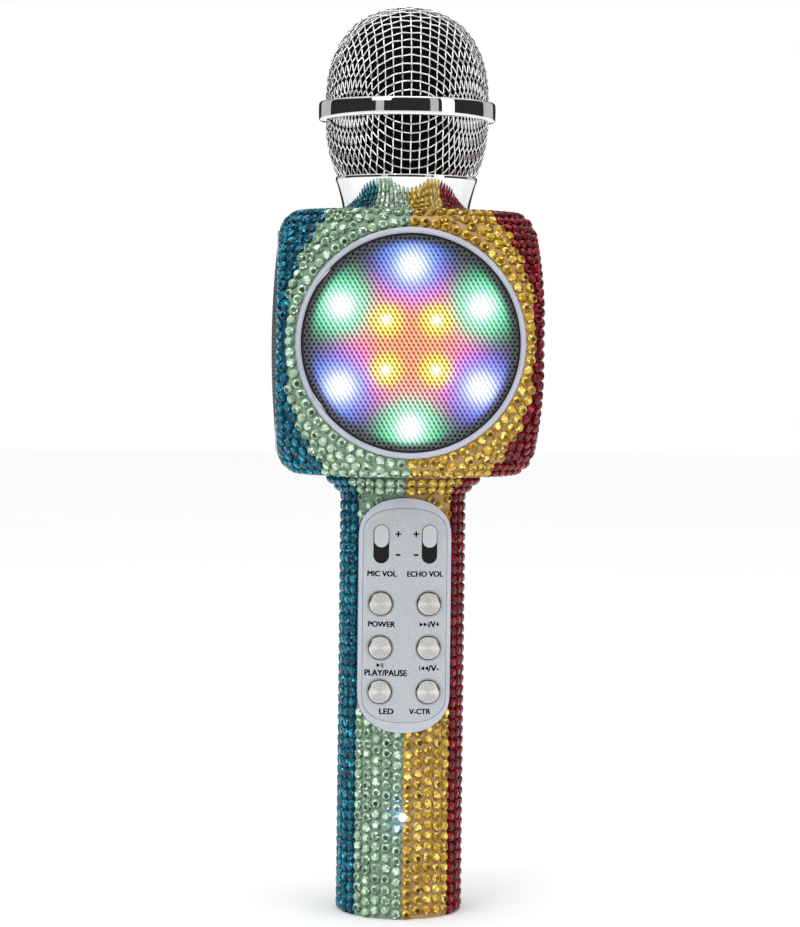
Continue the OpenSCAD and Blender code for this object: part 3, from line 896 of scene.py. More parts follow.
@dataclass
class StoneCover:
    """All the stones on the handle and the housing."""

    radius: float = 1.4 * MM
    height: float = 1.25 * MM
    film_r: float = 16.4 * MM
    row_pitch: float = 2.81 * MM
    columns: int = 36
    first_row: float = 1.5 * MM
    straight_top: float = 116.2 * MM
    flare_top: float = 121.6 * MM
    flare_r: float = 22.1 * MM
    spacing: float = 2.83 * MM
    nearest: float = 2.18 * MM
    film_inset: float = 1.3 * MM
    form: HousingForm = field(default_factory=HousingForm)
    panel: PanelOutline = field(default_factory=PanelOutline)
    chance: random.Random = field(default_factory=lambda: random.Random(36))

    def cut_stone(self) -> bpy.types.Object:
        """Cuts one stone: an eight-sided girdle, a twisted crown and a flat table."""
        girdle = {"vertices": 8, "radius": self.radius * 0.97, "fill_type": "NOTHING"}
        stone = begin(bpy.ops.mesh.primitive_circle_add, "stone", **girdle)
        edit(stone, None, "EDGE")
        levels = ((0.42, 1.0, 22.5), (0.78, 0.86, 0.0), (1.0, 0.5, 22.5))
        before, turn_before = 1.0, 0.0
        height = 0.0
        for up, size, turn in levels:
            rise = self.height * up - height
            bpy.ops.mesh.extrude_region_move(TRANSFORM_OT_translate={"value": (0, 0, rise)})
            bpy.ops.transform.resize(value=(size / before, size / before, 1), center_override=(0, 0, 0))
            angle = math.radians(turn - turn_before)
            bpy.ops.transform.rotate(value=-angle, orient_axis="Z", center_override=(0, 0, 0))
            before, turn_before, height = size, turn, self.height * up
        bpy.ops.mesh.edge_face_add()
        bpy.ops.mesh.select_all(action="SELECT")
        bpy.ops.mesh.quads_convert_to_tris()
        close()
        return stone

    def hue_at(self, place: np.ndarray, edge: float) -> Hue:
        """Gives a place's colour by its direction from the axis."""
        turn = math.degrees(math.atan2(place[0], abs(place[1])))
        if abs(turn) > edge:
            return Hue.RED if turn > 0 else Hue.TEAL
        return Hue.GOLD if turn > 0 else Hue.MINT

    def handle_stones(self) -> list[Stone]:
        """Places the stones of the handle in upright columns, and rings of them on its flare."""
        stones = []
        for column in range(self.columns):
            turn = math.radians(5 + 10 * column)
            way = np.array([math.sin(turn), -math.cos(turn), 0.0])
            hue = self.hue_at(way, STONE_EDGES["handle"])
            loose = hue in (Hue.MINT, Hue.GOLD)
            shift = self.chance.uniform(-0.9, 0.9) * MM if loose else (0.0 if column % 2 else 0.35 * MM)
            for low, high in self.free_runs(way, self.first_row + max(shift, -0.1 * MM)):
                rows = max(1, math.floor((high - low) / self.row_pitch + 1.05))
                step = (high - low) / max(1, rows - 1)
                for row in range(rows):
                    foot = way * self.film_r + np.array([0, 0, low + row * step])
                    if not self.on_lamp(foot):
                        stones.append(Stone(foot, way, hue))
        slope = math.atan2(self.flare_r - self.film_r, self.flare_top - self.straight_top)
        for z in (self.straight_top + 1.5 * MM, self.straight_top + 3.6 * MM):
            share = (z - self.straight_top) / (self.flare_top - self.straight_top)
            ring_r = self.film_r + (self.flare_r - self.film_r) * share
            count = int(2 * math.pi * ring_r / self.spacing)
            for i in range(count):
                turn = 2 * math.pi * (i + 0.5) / count
                way = np.array([math.sin(turn), -math.cos(turn), 0.0])
                out = way * math.cos(slope) - np.array([0, 0, math.sin(slope)])
                foot = way * ring_r + np.array([0, 0, z])
                stones.append(Stone(foot, out, self.hue_at(way, STONE_EDGES["handle"])))
        return stones

    def free_runs(self, way: np.ndarray, low: float) -> list[tuple[float, float]]:
        """Finds the stretches of one upright column that the panel leaves free.

        Args:
            way: the column's direction from the axis.
            low: the height of the column's first stone.

        Returns:
            The lowest and highest stone's height in each stretch.
        """
        x = way[0] * self.film_r
        heights = np.arange(low, self.straight_top - 0.9 * MM, 0.1 * MM)
        margin = (0.15 if abs(x) > 13 * MM else 0.45) * MM
        free = [not (way[1] < 0 and self.panel.holds(x, z, margin)) for z in heights]
        runs, start = [], None
        for z, clear in zip(heights, free):
            if clear and start is None:
                start = z
            if not clear and start is not None:
                runs.append((start, z - 0.1 * MM))
                start = None
        if start is not None:
            runs.append((start, float(heights[-1])))
        return runs

    def on_lamp(self, foot: np.ndarray) -> bool:
        """Says whether a stone would cover the small lamp."""
        return foot[1] < 0 and math.hypot(foot[0], foot[2] - 28 * MM) < 2.2 * MM and abs(foot[0]) < 1.2 * MM

    def along(self, line: np.ndarray, closed: bool) -> np.ndarray:
        """Picks evenly spaced places along a line of places."""
        if closed:
            line = np.vstack([line, line[:1]])
        lengths = np.linalg.norm(np.diff(line, axis=0), axis=1)
        total = np.concatenate([[0], np.cumsum(lengths)])
        count = max(1, int(total[-1] / self.spacing))
        stops = (np.arange(count) + (0.5 if closed else 0.0)) * total[-1] / count
        return np.stack([np.interp(stops, total, line[:, i]) for i in range(3)], axis=1)

    def face_lines(self, turn: float, rows: int) -> list[list[np.ndarray]]:
        """Lays rings of places around one speaker face.

        Args:
            turn: the face's turn about the upright axis in degrees.
            rows: how many rings are laid outwards from the bezel.

        Returns:
            For each ring, its lines of places.
        """
        first = 32.35 * MM
        angles = np.radians(np.arange(0, 360, 1.0))
        tilts = np.radians(np.linspace(40, 80, 320))
        rings = [[] for _ in range(rows)]
        line_parts = [[] for _ in range(rows)]
        spin = math.radians(turn)
        axis = np.array([math.sin(spin), -math.cos(spin), 0.0])
        side = np.array([math.cos(spin), math.sin(spin), 0.0])
        for angle in angles:
            across = math.cos(angle) * side + math.sin(angle) * np.array([0, 0, 1.0])
            ways = np.cos(tilts)[:, None] * axis + np.sin(tilts)[:, None] * across
            places = self.form.reach(ways, self.film_inset)
            lateral = places @ across
            lengths = np.concatenate([[0], np.cumsum(np.linalg.norm(np.diff(places, axis=0), axis=1))])
            start = np.interp(first, lateral, lengths)
            for row in range(rows):
                at = start + row * self.spacing * 0.985
                place = np.array([np.interp(at, lengths, places[:, i]) for i in range(3)])
                outward = place @ axis
                inside = outward >= max(abs(place @ side), abs(place[2])) - 0.6 * MM and at < lengths[-1]
                if inside:
                    line_parts[row].append(place)
                elif line_parts[row]:
                    rings[row].append(np.array(line_parts[row]))
                    line_parts[row] = []
        for row in range(rows):
            if line_parts[row]:
                rings[row].append(np.array(line_parts[row]))
        return rings

    def end_lines(self, up: float, rows: int) -> list[np.ndarray]:
        """Lays rounded-square loops on the housing's top or bottom, from its rim inwards."""
        loops = []
        angles = np.radians(np.arange(0, 360, 1.0))
        tilts = np.radians(np.linspace(10, 62, 300))
        strands = []
        for angle in angles:
            across = np.array([math.cos(angle), math.sin(angle), 0.0])
            ways = np.cos(tilts)[:, None] * np.array([0, 0, up]) + np.sin(tilts)[:, None] * across
            places = self.form.reach(ways, self.film_inset)
            lengths = np.concatenate([[0], np.cumsum(np.linalg.norm(np.diff(places, axis=0), axis=1))])
            start = np.interp(-33.0 * MM, -places[:, 2] * up, lengths)
            strands.append((places, lengths, start))
        for row in range(rows):
            line = []
            for places, lengths, start in strands:
                at = start - row * self.spacing * 0.99
                line.append([np.interp(at, lengths, places[:, i]) for i in range(3)])
            loops.append(np.array(line))
        return loops

    def housing_stones(self) -> list[Stone]:
        """Places the housing's stones: rings by the bezels, loops by the rims, and the gaps filled."""
        wanted: list[np.ndarray] = []
        faces = [self.face_lines(face.value, 6) for face in Face]
        for rings in faces:
            wanted += [self.along(line, True) for line in rings[0]]
        ends = [self.end_lines(up, 9) for up in (1.0, -1.0)]
        for loops in ends:
            wanted.append(self.along(loops[0], True))
        for row in range(1, 6):
            for rings in faces:
                wanted += [self.along(line, False) for line in rings[row]]
        for loops in ends:
            wanted += [self.along(loop, True) for loop in loops[1:]]
        spread = np.array([[self.chance.gauss(0, 1) for _ in range(3)] for _ in range(40000)])
        wanted.append(self.form.reach(spread, self.film_inset))
        fixed = sum(len(part) for part in wanted[:6])
        taken, held = np.empty((0, 3)), []
        for index, place in enumerate(np.vstack(wanted)):
            if not self.is_free(place):
                continue
            if len(taken) and np.min(((taken - place) ** 2).sum(axis=1)) < self.nearest**2:
                continue
            taken = np.vstack([taken, place])
            held.append(index < fixed)
        taken = self.settle(taken, np.array(held))
        outs = self.form.normals(taken)
        centre = np.array([0, 0, HOUSING_Z])
        stones = []
        for place, out in zip(taken, outs):
            edge = STONE_EDGES["housing"] - 3 * (place[2] / self.form.half) ** 2
            stones.append(Stone(place + centre, out, self.hue_at(place, edge)))
        return stones

    def is_free(self, place: np.ndarray) -> bool:
        """Says whether a place on the housing is clear of the bezels, the collar and the handle."""
        x, y, z = place
        ring = min(math.hypot(x, z), math.hypot(y, z))
        neck = 17.4 * MM + 1.3 * MM if z > 0 else 23.4 * MM + 1.0 * MM
        return ring > 32.2 * MM and not (abs(z) > 30 * MM and math.hypot(x, y) < neck)

    def settle(self, places: np.ndarray, held: np.ndarray) -> np.ndarray:
        """Nudges stones apart until they lie evenly, as they do when they are pressed on by hand.

        Args:
            places: the stones' places from the housing's centre.
            held: which stones stay where they are.

        Returns:
            The settled places.
        """
        for _ in range(50):
            gaps = places[:, None, :] - places[None, :, :]
            far = np.sqrt((gaps**2).sum(axis=2)) + np.eye(len(places))
            push = np.clip(self.spacing * 1.04 - far, 0, None) / far
            moved = places + 0.22 * (gaps * push[:, :, None]).sum(axis=1)
            moved = self.form.reach(moved, self.film_inset)
            free = np.array([self.is_free(place) for place in moved]) & ~held
            places = np.where(free[:, None], moved, places)
        return places

    def build(self, glasses: dict[Hue, bpy.types.Material]) -> None:
        """Sets a copy of the cut stone at every place and joins them by colour."""
        model = self.cut_stone()
        corners = np.array([v.co[:] for v in model.data.vertices])
        faces = [list(f.vertices) for f in model.data.polygons]
        slopes = np.array([f.normal[:] for f in model.data.polygons])
        bpy.data.objects.remove(model)
        stones = self.handle_stones() + self.housing_stones()
        for hue in Hue:
            own = [stone for stone in stones if stone.hue is hue]
            places, tones = [], []
            for stone in own:
                up = np.array([0.0, 0.0, 1.0]) - stone.out * stone.out[2]
                if np.linalg.norm(up) < 0.2:
                    up = np.array([0.0, 1.0, 0.0]) - stone.out * stone.out[1]
                up /= np.linalg.norm(up)
                side = np.cross(up, stone.out)
                lean = np.array([self.chance.gauss(0, 0.05), self.chance.gauss(0, 0.05), 1.0])
                lean /= np.linalg.norm(lean)
                out = side * lean[0] + up * lean[1] + stone.out * lean[2]
                side = np.cross(up, out)
                side /= np.linalg.norm(side)
                up = np.cross(out, side)
                twist = self.chance.uniform(0, math.pi / 4)
                turn = np.array([
                    [math.cos(twist), -math.sin(twist), 0],
                    [math.sin(twist), math.cos(twist), 0],
                    [0, 0, 1],
                ])
                local = corners @ turn.T
                places.append(local @ np.stack([side, up, out]) + stone.foot - out * 0.1 * MM)
                # Each facet gets its painted light and shade.
                tones += self.paint_facet_light(slopes @ turn.T, side)
            self.assemble(hue, np.vstack(places), faces, len(own), tones, glasses[hue])

    def paint_facet_light(self, slopes: np.ndarray, side: np.ndarray) -> list[float]:
        """Gives each facet of a stone its painted light and shade, by a fixed direction and by chance.

        Facets that face -X and up get a painted highlight and the ones across from them painted shade,
        as from a light that never moves. Whether the table is painted dark or bright, and a few painted
        glints, are drawn by chance.

        Args:
            slopes: the facets' directions in the stone's own frame.
            side: the stone's own way to the side.

        Returns:
            A tone from 0 to 1 for each facet.
        """
        # Shares of tables painted dark and of facets given a painted glint, and the slope that marks the
        # table.
        painted_dark_tables, painted_glints, flat = 0.6, 0.09, 0.97
        # The painted light comes from a fixed side, brighter towards -X and up.
        lit = -0.55 * side[0] + 0.1
        tones = []
        # By chance the table is painted dark or bright.
        dark = self.chance.random() < painted_dark_tables
        table = self.chance.uniform(0.02, 0.3) if dark else self.chance.uniform(0.55, 0.95)
        for slope in slopes:
            way = slope[0] * lit + slope[1] * 0.5
            tone = 0.5 + 0.55 * way + self.chance.gauss(0, 0.12)
            if slope[2] > flat:
                tone = table
            # A few facets get a painted glint.
            elif self.chance.random() < painted_glints:
                tone = 1.0
            tones.append(min(max(tone, 0.0), 1.0))
        return tones

    def assemble(
        self,
        hue: Hue,
        places: np.ndarray,
        faces: list,
        count: int,
        tones: list[float],
        glass: bpy.types.Material,
    ) -> None:
        """Makes one colour's stones a mesh with the painted light of its facets, and dresses it."""
        step = len(places) // count
        corners = [[i + stone * step for i in face] for stone in range(count) for face in faces]
        mesh = bpy.data.meshes.new(f"rhinestones_{hue.value}")
        mesh.from_pydata(places.tolist(), [], corners)
        # The faces carry their painted light and shade, which the glass's ramp turns to colour.
        layer = mesh.attributes.new("tone", "FLOAT", "FACE")
        layer.data.foreach_set("value", np.array(tones, dtype=np.float32))
        piece = bpy.data.objects.new(mesh.name, mesh)
        bpy.context.scene.collection.objects.link(piece)
        mesh.update()
        log.info("%d %s stones", count, hue.value)
        dress(piece, glass, stands_for=[f"stones_{hue.value}"])


# Housing and speaker faces ------------------------------------------------


@dataclass
class HousingShells:
    """The housing's two moulded halves under the stones, with their round openings."""

    wall: float = 1.1 * MM
    opening_r: float = 30.3 * MM
    neck_r: float = 15.0 * MM
    throat_r: float = 21.5 * MM
    form: HousingForm = field(default_factory=HousingForm)

    def build(self, film: bpy.types.Material) -> None:
        """Models the shell as one, cuts its openings and parts it into front and rear."""
        block = begin(bpy.ops.mesh.primitive_cube_add, "housing_block", size=60 * MM)
        edit(block, None)
        bpy.ops.mesh.subdivide(number_cuts=47)
        close()
        shape(block, lambda places: self.form.reach(places, 1.3 * MM))
        apply(block, "SOLIDIFY", thickness=self.wall, offset=-1.0)
        for turn in (0, 90):
            spin = Matrix.Rotation(math.radians(turn), 4, "Z")
            tip = Matrix.Rotation(math.radians(90), 4, "X")
            self.cut(block, self.opening_r, 100 * MM, spin @ tip)
        self.cut(block, self.neck_r, 40 * MM, Matrix.Translation((0, 0, 30 * MM)))
        self.cut(block, self.throat_r, 40 * MM, Matrix.Translation((0, 0, -30 * MM)))
        block.data.transform(Matrix.Translation((0, 0, HOUSING_Z)))
        for side, name in ((-1, "front"), (1, "rear")):
            half = turned(block, f"housing_film_{name}", Matrix.Identity(4))
            edit(half, None)
            bpy.ops.mesh.bisect(plane_co=(0, 0, 0), plane_no=(0, side, 0), clear_inner=True, use_fill=True)
            close()
            smooth(half, 40)
            dress(half, film, stands_for=[f"housing_shell_{name}"])
        bpy.data.objects.remove(block)

    def cut(self, block: bpy.types.Object, radius: float, length: float, place: Matrix) -> None:
        """Cuts a round opening through the shell."""
        sizes = {"vertices": 128, "radius": radius, "depth": length}
        cutter = begin(bpy.ops.mesh.primitive_cylinder_add, "cutter", **sizes)
        cutter.data.transform(place)
        apply(block, "BOOLEAN", operation="DIFFERENCE", object=cutter, solver="EXACT")
        bpy.data.objects.remove(cutter)


@dataclass
class SpeakerGrilles:
    """Four domed sheets of perforated steel in their bezels, two of them lit."""

    pitch: float = GRILLE_PITCH
    hole_r: float = 0.395 * MM
    sheet_r: float = 28.8 * MM
    rim_r: float = 29.15 * MM
    edge_out: float = 35.6 * MM
    sag: float = 1.6 * MM
    thickness: float = 0.32 * MM

    def cell(self) -> bpy.types.Object:
        """Models one six-sided cell of sheet around its round hole."""
        cell = begin(
            bpy.ops.mesh.primitive_circle_add,
            "cell",
            vertices=12,
            radius=self.hole_r,
            fill_type="NOTHING",
            rotation=(math.radians(90), 0, 0),
        )
        edit(cell, None, "EDGE")
        bpy.ops.mesh.extrude_region_move(TRANSFORM_OT_translate={"value": (0, 0, 0)})
        bpy.ops.transform.resize(value=(1.6, 1.0, 1.6), center_override=(0, 0, 0))
        close()

        def to_hexagon(places: np.ndarray) -> np.ndarray:
            """Moves the outer corners on to the cell's six sides."""
            radii = np.hypot(places[:, 0], places[:, 2])
            turns = np.degrees(np.arctan2(places[:, 2], places[:, 0]))
            sides = np.radians(turns - np.round(turns / 60) * 60)
            hexagon = self.pitch / 2 / np.cos(sides)
            grown = np.where(radii > self.hole_r * 1.2, hexagon / radii, 1.0)
            return places * grown[:, None]

        shape(cell, to_hexagon)
        return cell

    def sheet(self) -> bpy.types.Object:
        """Models the front grille: rows of cells, trimmed round, domed and given a thickness."""
        sheet = self.cell()
        rise = self.pitch * math.sqrt(3) / 2
        across, rows = GRILLE_CELLS
        for step, count in (
            ((self.pitch / 2, 0, rise), 2),
            ((self.pitch, 0, 0), across),
            ((0, 0, 2 * rise), rows),
        ):
            apply(
                sheet,
                "ARRAY",
                use_relative_offset=False,
                use_constant_offset=True,
                constant_offset_displace=step,
                count=count,
            )
        shift = Matrix.Translation((-self.pitch * (across - 1) / 2, 0, -rise * (rows - 0.5)))
        sheet.data.transform(shift)
        edit(sheet, None, "VERT")
        bpy.ops.mesh.remove_doubles(threshold=0.01 * MM)
        close()
        edit(sheet, lambda c: math.hypot(c.x, c.z) > self.sheet_r)
        bpy.ops.mesh.delete(type="FACE")
        close()
        shape(sheet, self.dome)
        edit(sheet, None)
        bpy.ops.mesh.normals_make_consistent(inside=False)
        close()
        if sheet.data.polygons[0].normal.y > 0:
            edit(sheet, None)
            bpy.ops.mesh.flip_normals()
            close()
        apply(sheet, "SOLIDIFY", thickness=self.thickness, offset=-1.0)
        sheet.data.transform(Matrix.Translation((0, 0, HOUSING_Z)))
        return sheet

    def dome(self, places: np.ndarray) -> np.ndarray:
        """Sets flat places on the dome in front of the housing."""
        out = places.copy()
        radii = np.hypot(places[:, 0], places[:, 2])
        out[:, 1] -= self.edge_out + self.sag * (1 - (radii / (29.2 * MM)) ** 2)
        return out

    def rim(self) -> bpy.types.Object:
        """Turns the grille's folded rim, which stands just inside the bezel."""
        outline = [
            (self.rim_r - 0.5 * MM, 34.2 * MM),
            (self.rim_r, 34.2 * MM),
            (self.rim_r, self.edge_out - 0.05 * MM),
            (self.rim_r - 0.12 * MM, self.edge_out + 0.08 * MM),
            (self.rim_r - 0.4 * MM, self.edge_out + 0.08 * MM),
            (self.rim_r - 0.5 * MM, self.edge_out - 0.02 * MM),
        ]
        ring = lathe("rim", outline, 128)
        ring.data.transform(Matrix.Translation((0, 0, HOUSING_Z)) @ Matrix.Rotation(math.radians(90), 4, "X"))
        return ring

    def build(self, lit: bpy.types.Material, plain: bpy.types.Material, black: bpy.types.Material) -> None:
        """Makes all four grilles and their rims."""
        sheet, rim = self.sheet(), self.rim()
        for face in Face:
            name = face.name.lower()
            turn = Matrix.Rotation(math.radians(face.value), 4, "Z")
            grille = turned(sheet, f"perforated_sheet_{name}", turn)
            shining = face in (Face.FRONT, Face.REAR)
            dress(grille, lit if shining else plain, stands_for=[f"grille_{name}"])
            # The rim's near-black is painted shade of the gap inside the bezel.
            dress(turned(rim, f"grille_rim_{name}", turn), black)
        bpy.data.objects.remove(sheet)
        bpy.data.objects.remove(rim)


# Head ---------------------------------------------------------------------


@dataclass
class WireNet:
    """One half of the head: a square net of woven wire drawn over half an ellipsoid."""

    name: str
    pole_z: float
    equator_z: float
    girth_r: float = 22.45 * MM
    limit_low: float = 0.0
    limit_high: float = 1.0
    pitch: float = 2.45 * MM
    wire_r: float = 0.235 * MM
    weave: float = 0.25 * MM

    def squash(self, place: np.ndarray) -> np.ndarray:
        """Gives a place in the frame where the ellipsoid is a ball of radius 1."""
        depth = abs(self.pole_z - self.equator_z)
        return place / np.array([self.girth_r, self.girth_r, depth])

    def out(self, place: np.ndarray) -> np.ndarray:
        """Gives the surface's outward direction at a place measured from the equator's centre."""
        depth = abs(self.pole_z - self.equator_z)
        slope = place / np.array([self.girth_r**2, self.girth_r**2, depth**2])
        return slope / np.linalg.norm(slope)

    def knot(self, first: np.ndarray, second: np.ndarray, guess: np.ndarray) -> np.ndarray | None:
        """Finds the crossing one pitch from two known ones, on the surface.

        Args:
            first: one neighbour.
            second: the other neighbour.
            guess: a place near the answer.

        Returns:
            The crossing, or nothing where the cloth can't shear that far.
        """
        place = guess.copy()
        depth = abs(self.pole_z - self.equator_z)
        scales = np.array([self.girth_r**2, self.girth_r**2, depth**2])
        for _ in range(14):
            off_a, off_b = place - first, place - second
            faults = np.array([
                off_a @ off_a - self.pitch**2,
                off_b @ off_b - self.pitch**2,
                (place**2 / scales).sum() - 1,
            ])
            slopes = np.stack([2 * off_a, 2 * off_b, 2 * place / scales])
            if abs(np.linalg.det(slopes)) < 1e-14:
                return None
            step = np.linalg.solve(slopes, faults)
            length = np.linalg.norm(step)
            place = place - step * min(1.0, 0.5 * self.pitch / max(length, 1e-12))
        return place if np.abs(faults[:2]).max() < 0.02 * self.pitch * self.pitch else None

    def spine(self, count: int) -> list[np.ndarray]:
        """Steps one pitch at a time from the pole along +X."""
        depth = self.pole_z - self.equator_z
        places, turn = [np.array([0.0, 0.0, depth])], 0.0
        for _ in range(count):
            low, high = turn, turn + 0.6
            for _ in range(40):
                middle = (low + high) / 2
                place = np.array([self.girth_r * math.sin(middle), 0.0, depth * math.cos(middle)])
                short = np.linalg.norm(place - places[-1]) < self.pitch
                low, high = (middle, high) if short else (low, middle)
            turn = low
            places.append(np.array([self.girth_r * math.sin(turn), 0.0, depth * math.cos(turn)]))
        return places

    def knots(self, count: int) -> dict[tuple[int, int], np.ndarray]:
        """Draws a quarter of the net over the surface, and mirrors it to the whole."""
        spine = self.spine(count)
        grid: dict[tuple[int, int], np.ndarray] = {}
        for i, place in enumerate(spine):
            grid[i, 0] = place
            grid[0, i] = np.array([place[1], place[0], place[2]])
        for total in range(2, 2 * count + 1):
            for i in range(1, total):
                j = total - i
                if i > count or j > count or (i, j) in grid:
                    continue
                before = [grid.get(key) for key in ((i - 1, j), (i, j - 1), (i - 1, j - 1))]
                if any(place is None for place in before):
                    continue
                found = self.knot(before[0], before[1], before[0] + before[1] - before[2])
                if found is not None and np.linalg.norm(found - before[2]) > 0.35 * self.pitch:
                    grid[i, j] = found
        whole = {}
        for (i, j), place in grid.items():
            for sx in (1, -1):
                for sy in (1, -1):
                    whole[i * sx, j * sy] = place * np.array([sx, sy, 1])
        return whole

    def wires(self) -> list[list[np.ndarray]]:
        """Gives each wire's points, passing over and under the wires that cross it."""
        count = 19
        grid = self.knots(count)
        lines = []
        for direction in (0, 1):
            for row in range(-count, count + 1):
                keys = [(k, row) if direction == 0 else (row, k) for k in range(-count, count + 1)]
                run: list[np.ndarray] = []
                last = np.zeros(3)
                for key in keys + [None]:
                    place = grid.get(key) if key is not None else None
                    if place is None:
                        if len(run) > 1:
                            lines.append(run)
                        run = []
                        continue
                    over = 1 if (key[0] + key[1] + direction) % 2 else -1
                    point = place + self.out(place) * self.weave * over
                    if run:
                        base = (place + last) / 2
                        run.append(base / np.linalg.norm(self.squash(base)))
                    last = place
                    run.append(point)
        return lines

    def fuller(self, places: np.ndarray) -> np.ndarray:
        """Swells an upper net's shoulders, which stand fuller than an ellipse's."""
        if self.pole_z < self.equator_z:
            return places
        share = np.clip((places[:, 2] - self.equator_z) / (self.pole_z - self.equator_z), 0.0, 0.99)
        grown = (1 - share**2.3) ** (1 / 2.3) / np.sqrt(1 - share**2)
        out = places.copy()
        out[:, :2] *= np.minimum(grown, 1.13)[:, None]
        return out

    def build(self, metal: bpy.types.Material, stands_for: str) -> None:
        """Bends the wires, makes them round and trims them at their seats."""
        curve = bpy.data.curves.new(self.name, "CURVE")
        curve.dimensions = "3D"
        curve.bevel_depth = self.wire_r
        curve.bevel_resolution = 1
        curve.use_fill_caps = True
        for line in self.wires():
            points = [p + np.array([0, 0, self.equator_z]) for p in line]
            kept = [p for p in points if self.limit_low <= p[2] <= self.limit_high]
            if len(kept) < 3:
                continue
            breaks = [0]
            for i in range(1, len(kept)):
                if np.linalg.norm(kept[i] - kept[i - 1]) > 1.2 * self.pitch:
                    breaks.append(i)
            for start, stop in zip(breaks, breaks[1:] + [len(kept)]):
                piece = kept[start:stop]
                if len(piece) < 3:
                    continue
                strand = curve.splines.new("NURBS")
                strand.points.add(len(piece) - 1)
                for point, place in zip(strand.points, piece):
                    point.co = (*place, 1.0)
                strand.order_u = 3
                strand.use_endpoint_u = True
                strand.resolution_u = 2
        net = bpy.data.objects.new(self.name, curve)
        bpy.context.scene.collection.objects.link(net)
        hold(net)
        bpy.ops.object.convert(target="MESH")
        net = bpy.context.object
        net.name = net.data.name = self.name
        shape(net, self.fuller)
        smooth(net, 80)
        dress(net, metal, stands_for=[stands_for])


@dataclass
class Head:
    """The wire head on its collar: two nets, the band that joins them, and the foam inside."""

    band_r: float = 24.75 * MM

    def band(self) -> bpy.types.Object:
        """Turns the band: a slightly crowned face with rounded edges."""
        low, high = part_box("head_band")[0].z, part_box("head_band")[1].z
        middle, r = (low + high) / 2, self.band_r
        half = (high - low) / 2
        crown = ((0.0, 0.0), (0.45, 0.02), (0.75, 0.06), (0.88, 0.14), (0.96, 0.36), (1.0, 0.9))
        upper = [(r - drop * MM, middle + half * share) for share, drop in crown]
        lower = [(r - drop * MM, middle - half * share) for share, drop in reversed(crown[1:])]
        outline = [(21.5 * MM, middle - half), *lower, *upper, (21.5 * MM, middle + half)]
        band = lathe("band", outline, 160, 40.0)
        band.name = band.data.name = "chrome_band"
        return band

    def foam(self) -> bpy.types.Object:
        """Models the foam ball that fills the nets, with its rough skin."""
        low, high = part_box("foam_ball")
        sizes = {"segments": 96, "ring_count": 64, "radius": 1.0}
        ball = begin(bpy.ops.mesh.primitive_uv_sphere_add, "foam_liner", **sizes)
        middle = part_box("head_band")[0].z

        def swell(places: np.ndarray) -> np.ndarray:
            """Fits the ball inside the nets, waisted at the band."""
            out = places.copy()
            up, wide = high.z - middle, max(high.x, 21.85 * MM)
            upper = places[:, 2] > 0
            out[:, 2] = np.where(upper, places[:, 2] * up, places[:, 2] * (middle - low.z + 9 * MM))
            share = np.clip(places[:, 2], 0.0, 0.99)
            fuller = (1 - share**2.3) ** (1 / 2.3) / np.sqrt(1 - share**2)
            out[:, :2] *= (wide * np.minimum(fuller, 1.13))[:, None]
            rough = np.sin(places[:, 0] * 61) * np.sin(places[:, 1] * 57 + 1) * np.sin(places[:, 2] * 53 + 2)
            out *= (1 - 0.012 + 0.012 * rough)[:, None]
            out[:, 2] = np.maximum(out[:, 2], low.z - middle)
            out[:, 2] += middle
            return out

        shape(ball, swell)
        tidy(ball)
        smooth(ball, 60)
        return ball

    def build(self, wire: bpy.types.Material, chrome: bpy.types.Material, foam: bpy.types.Material) -> None:
        """Makes and dresses the head."""
        band_low, band_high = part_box("head_band")[0].z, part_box("head_band")[1].z
        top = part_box("mesh_upper")[1].z
        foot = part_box("collar")[1].z
        limits = {"limit_low": band_high - 1.2 * MM, "limit_high": 1.0}
        WireNet("wire_net_upper", top - 0.35 * MM, band_high, **limits).build(wire, "mesh_upper")
        limits = {"limit_low": foot - 1.6 * MM, "limit_high": band_low + 1.0 * MM}
        WireNet("wire_net_lower", band_low - 30.2 * MM, band_low, **limits).build(wire, "mesh_lower")
        dress(self.band(), chrome, stands_for=["head_band"])
        liner = self.foam()
        dress(liner, foam, stands_for=["foam_ball"])
        self.seat_ring(chrome, foot)
        self.collar(chrome)

    def collar(self, chrome: bpy.types.Material) -> None:
        """Turns the collar, whose wall flares out more and more towards its lip."""
        low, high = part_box("collar")[0].z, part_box("collar")[1].z
        roof = low + 6.0 * MM
        wall = [(17.3 + 1.2 * t + 1.3 * t * t, t) for t in (i / 24 for i in range(25))]
        stem = [(13.0 * MM, roof + 1.2 * MM), (13.0 * MM, low), (14.4 * MM, low), (14.4 * MM, roof)]
        outer = [(r * MM, roof + (high - roof) * t) for r, t in wall]
        inner = [((r - 1.2) * MM, roof + (high - roof) * t) for r, t in reversed(wall[3:])]
        collar = lathe("flared_collar", stem + outer + inner, 192, 40.0)
        dress(collar, chrome, stands_for=["collar"])

    def seat_ring(self, chrome: bpy.types.Material, foot: float) -> None:
        """Turns the bead of metal at the collar's lip that holds the lower net."""
        r = 19.7 * MM
        outline = [
            (r - 1.0 * MM, foot - 0.5 * MM),
            (r + 0.02 * MM, foot - 0.5 * MM),
            (r + 0.1 * MM, foot - 0.2 * MM),
            (r + 0.1 * MM, foot + 0.35 * MM),
            (r - 0.05 * MM, foot + 0.6 * MM),
            (r - 0.5 * MM, foot + 0.6 * MM),
            (r - 1.0 * MM, foot + 0.3 * MM),
        ]
        dress(lathe("collar_bead", outline, 128), chrome)


# Control panel ------------------------------------------------------------


@dataclass(frozen=True)
class Label:
    """A word printed on the panel: its middle in millimetres, and its width."""

    words: str
    x: float
    z: float
    width: float


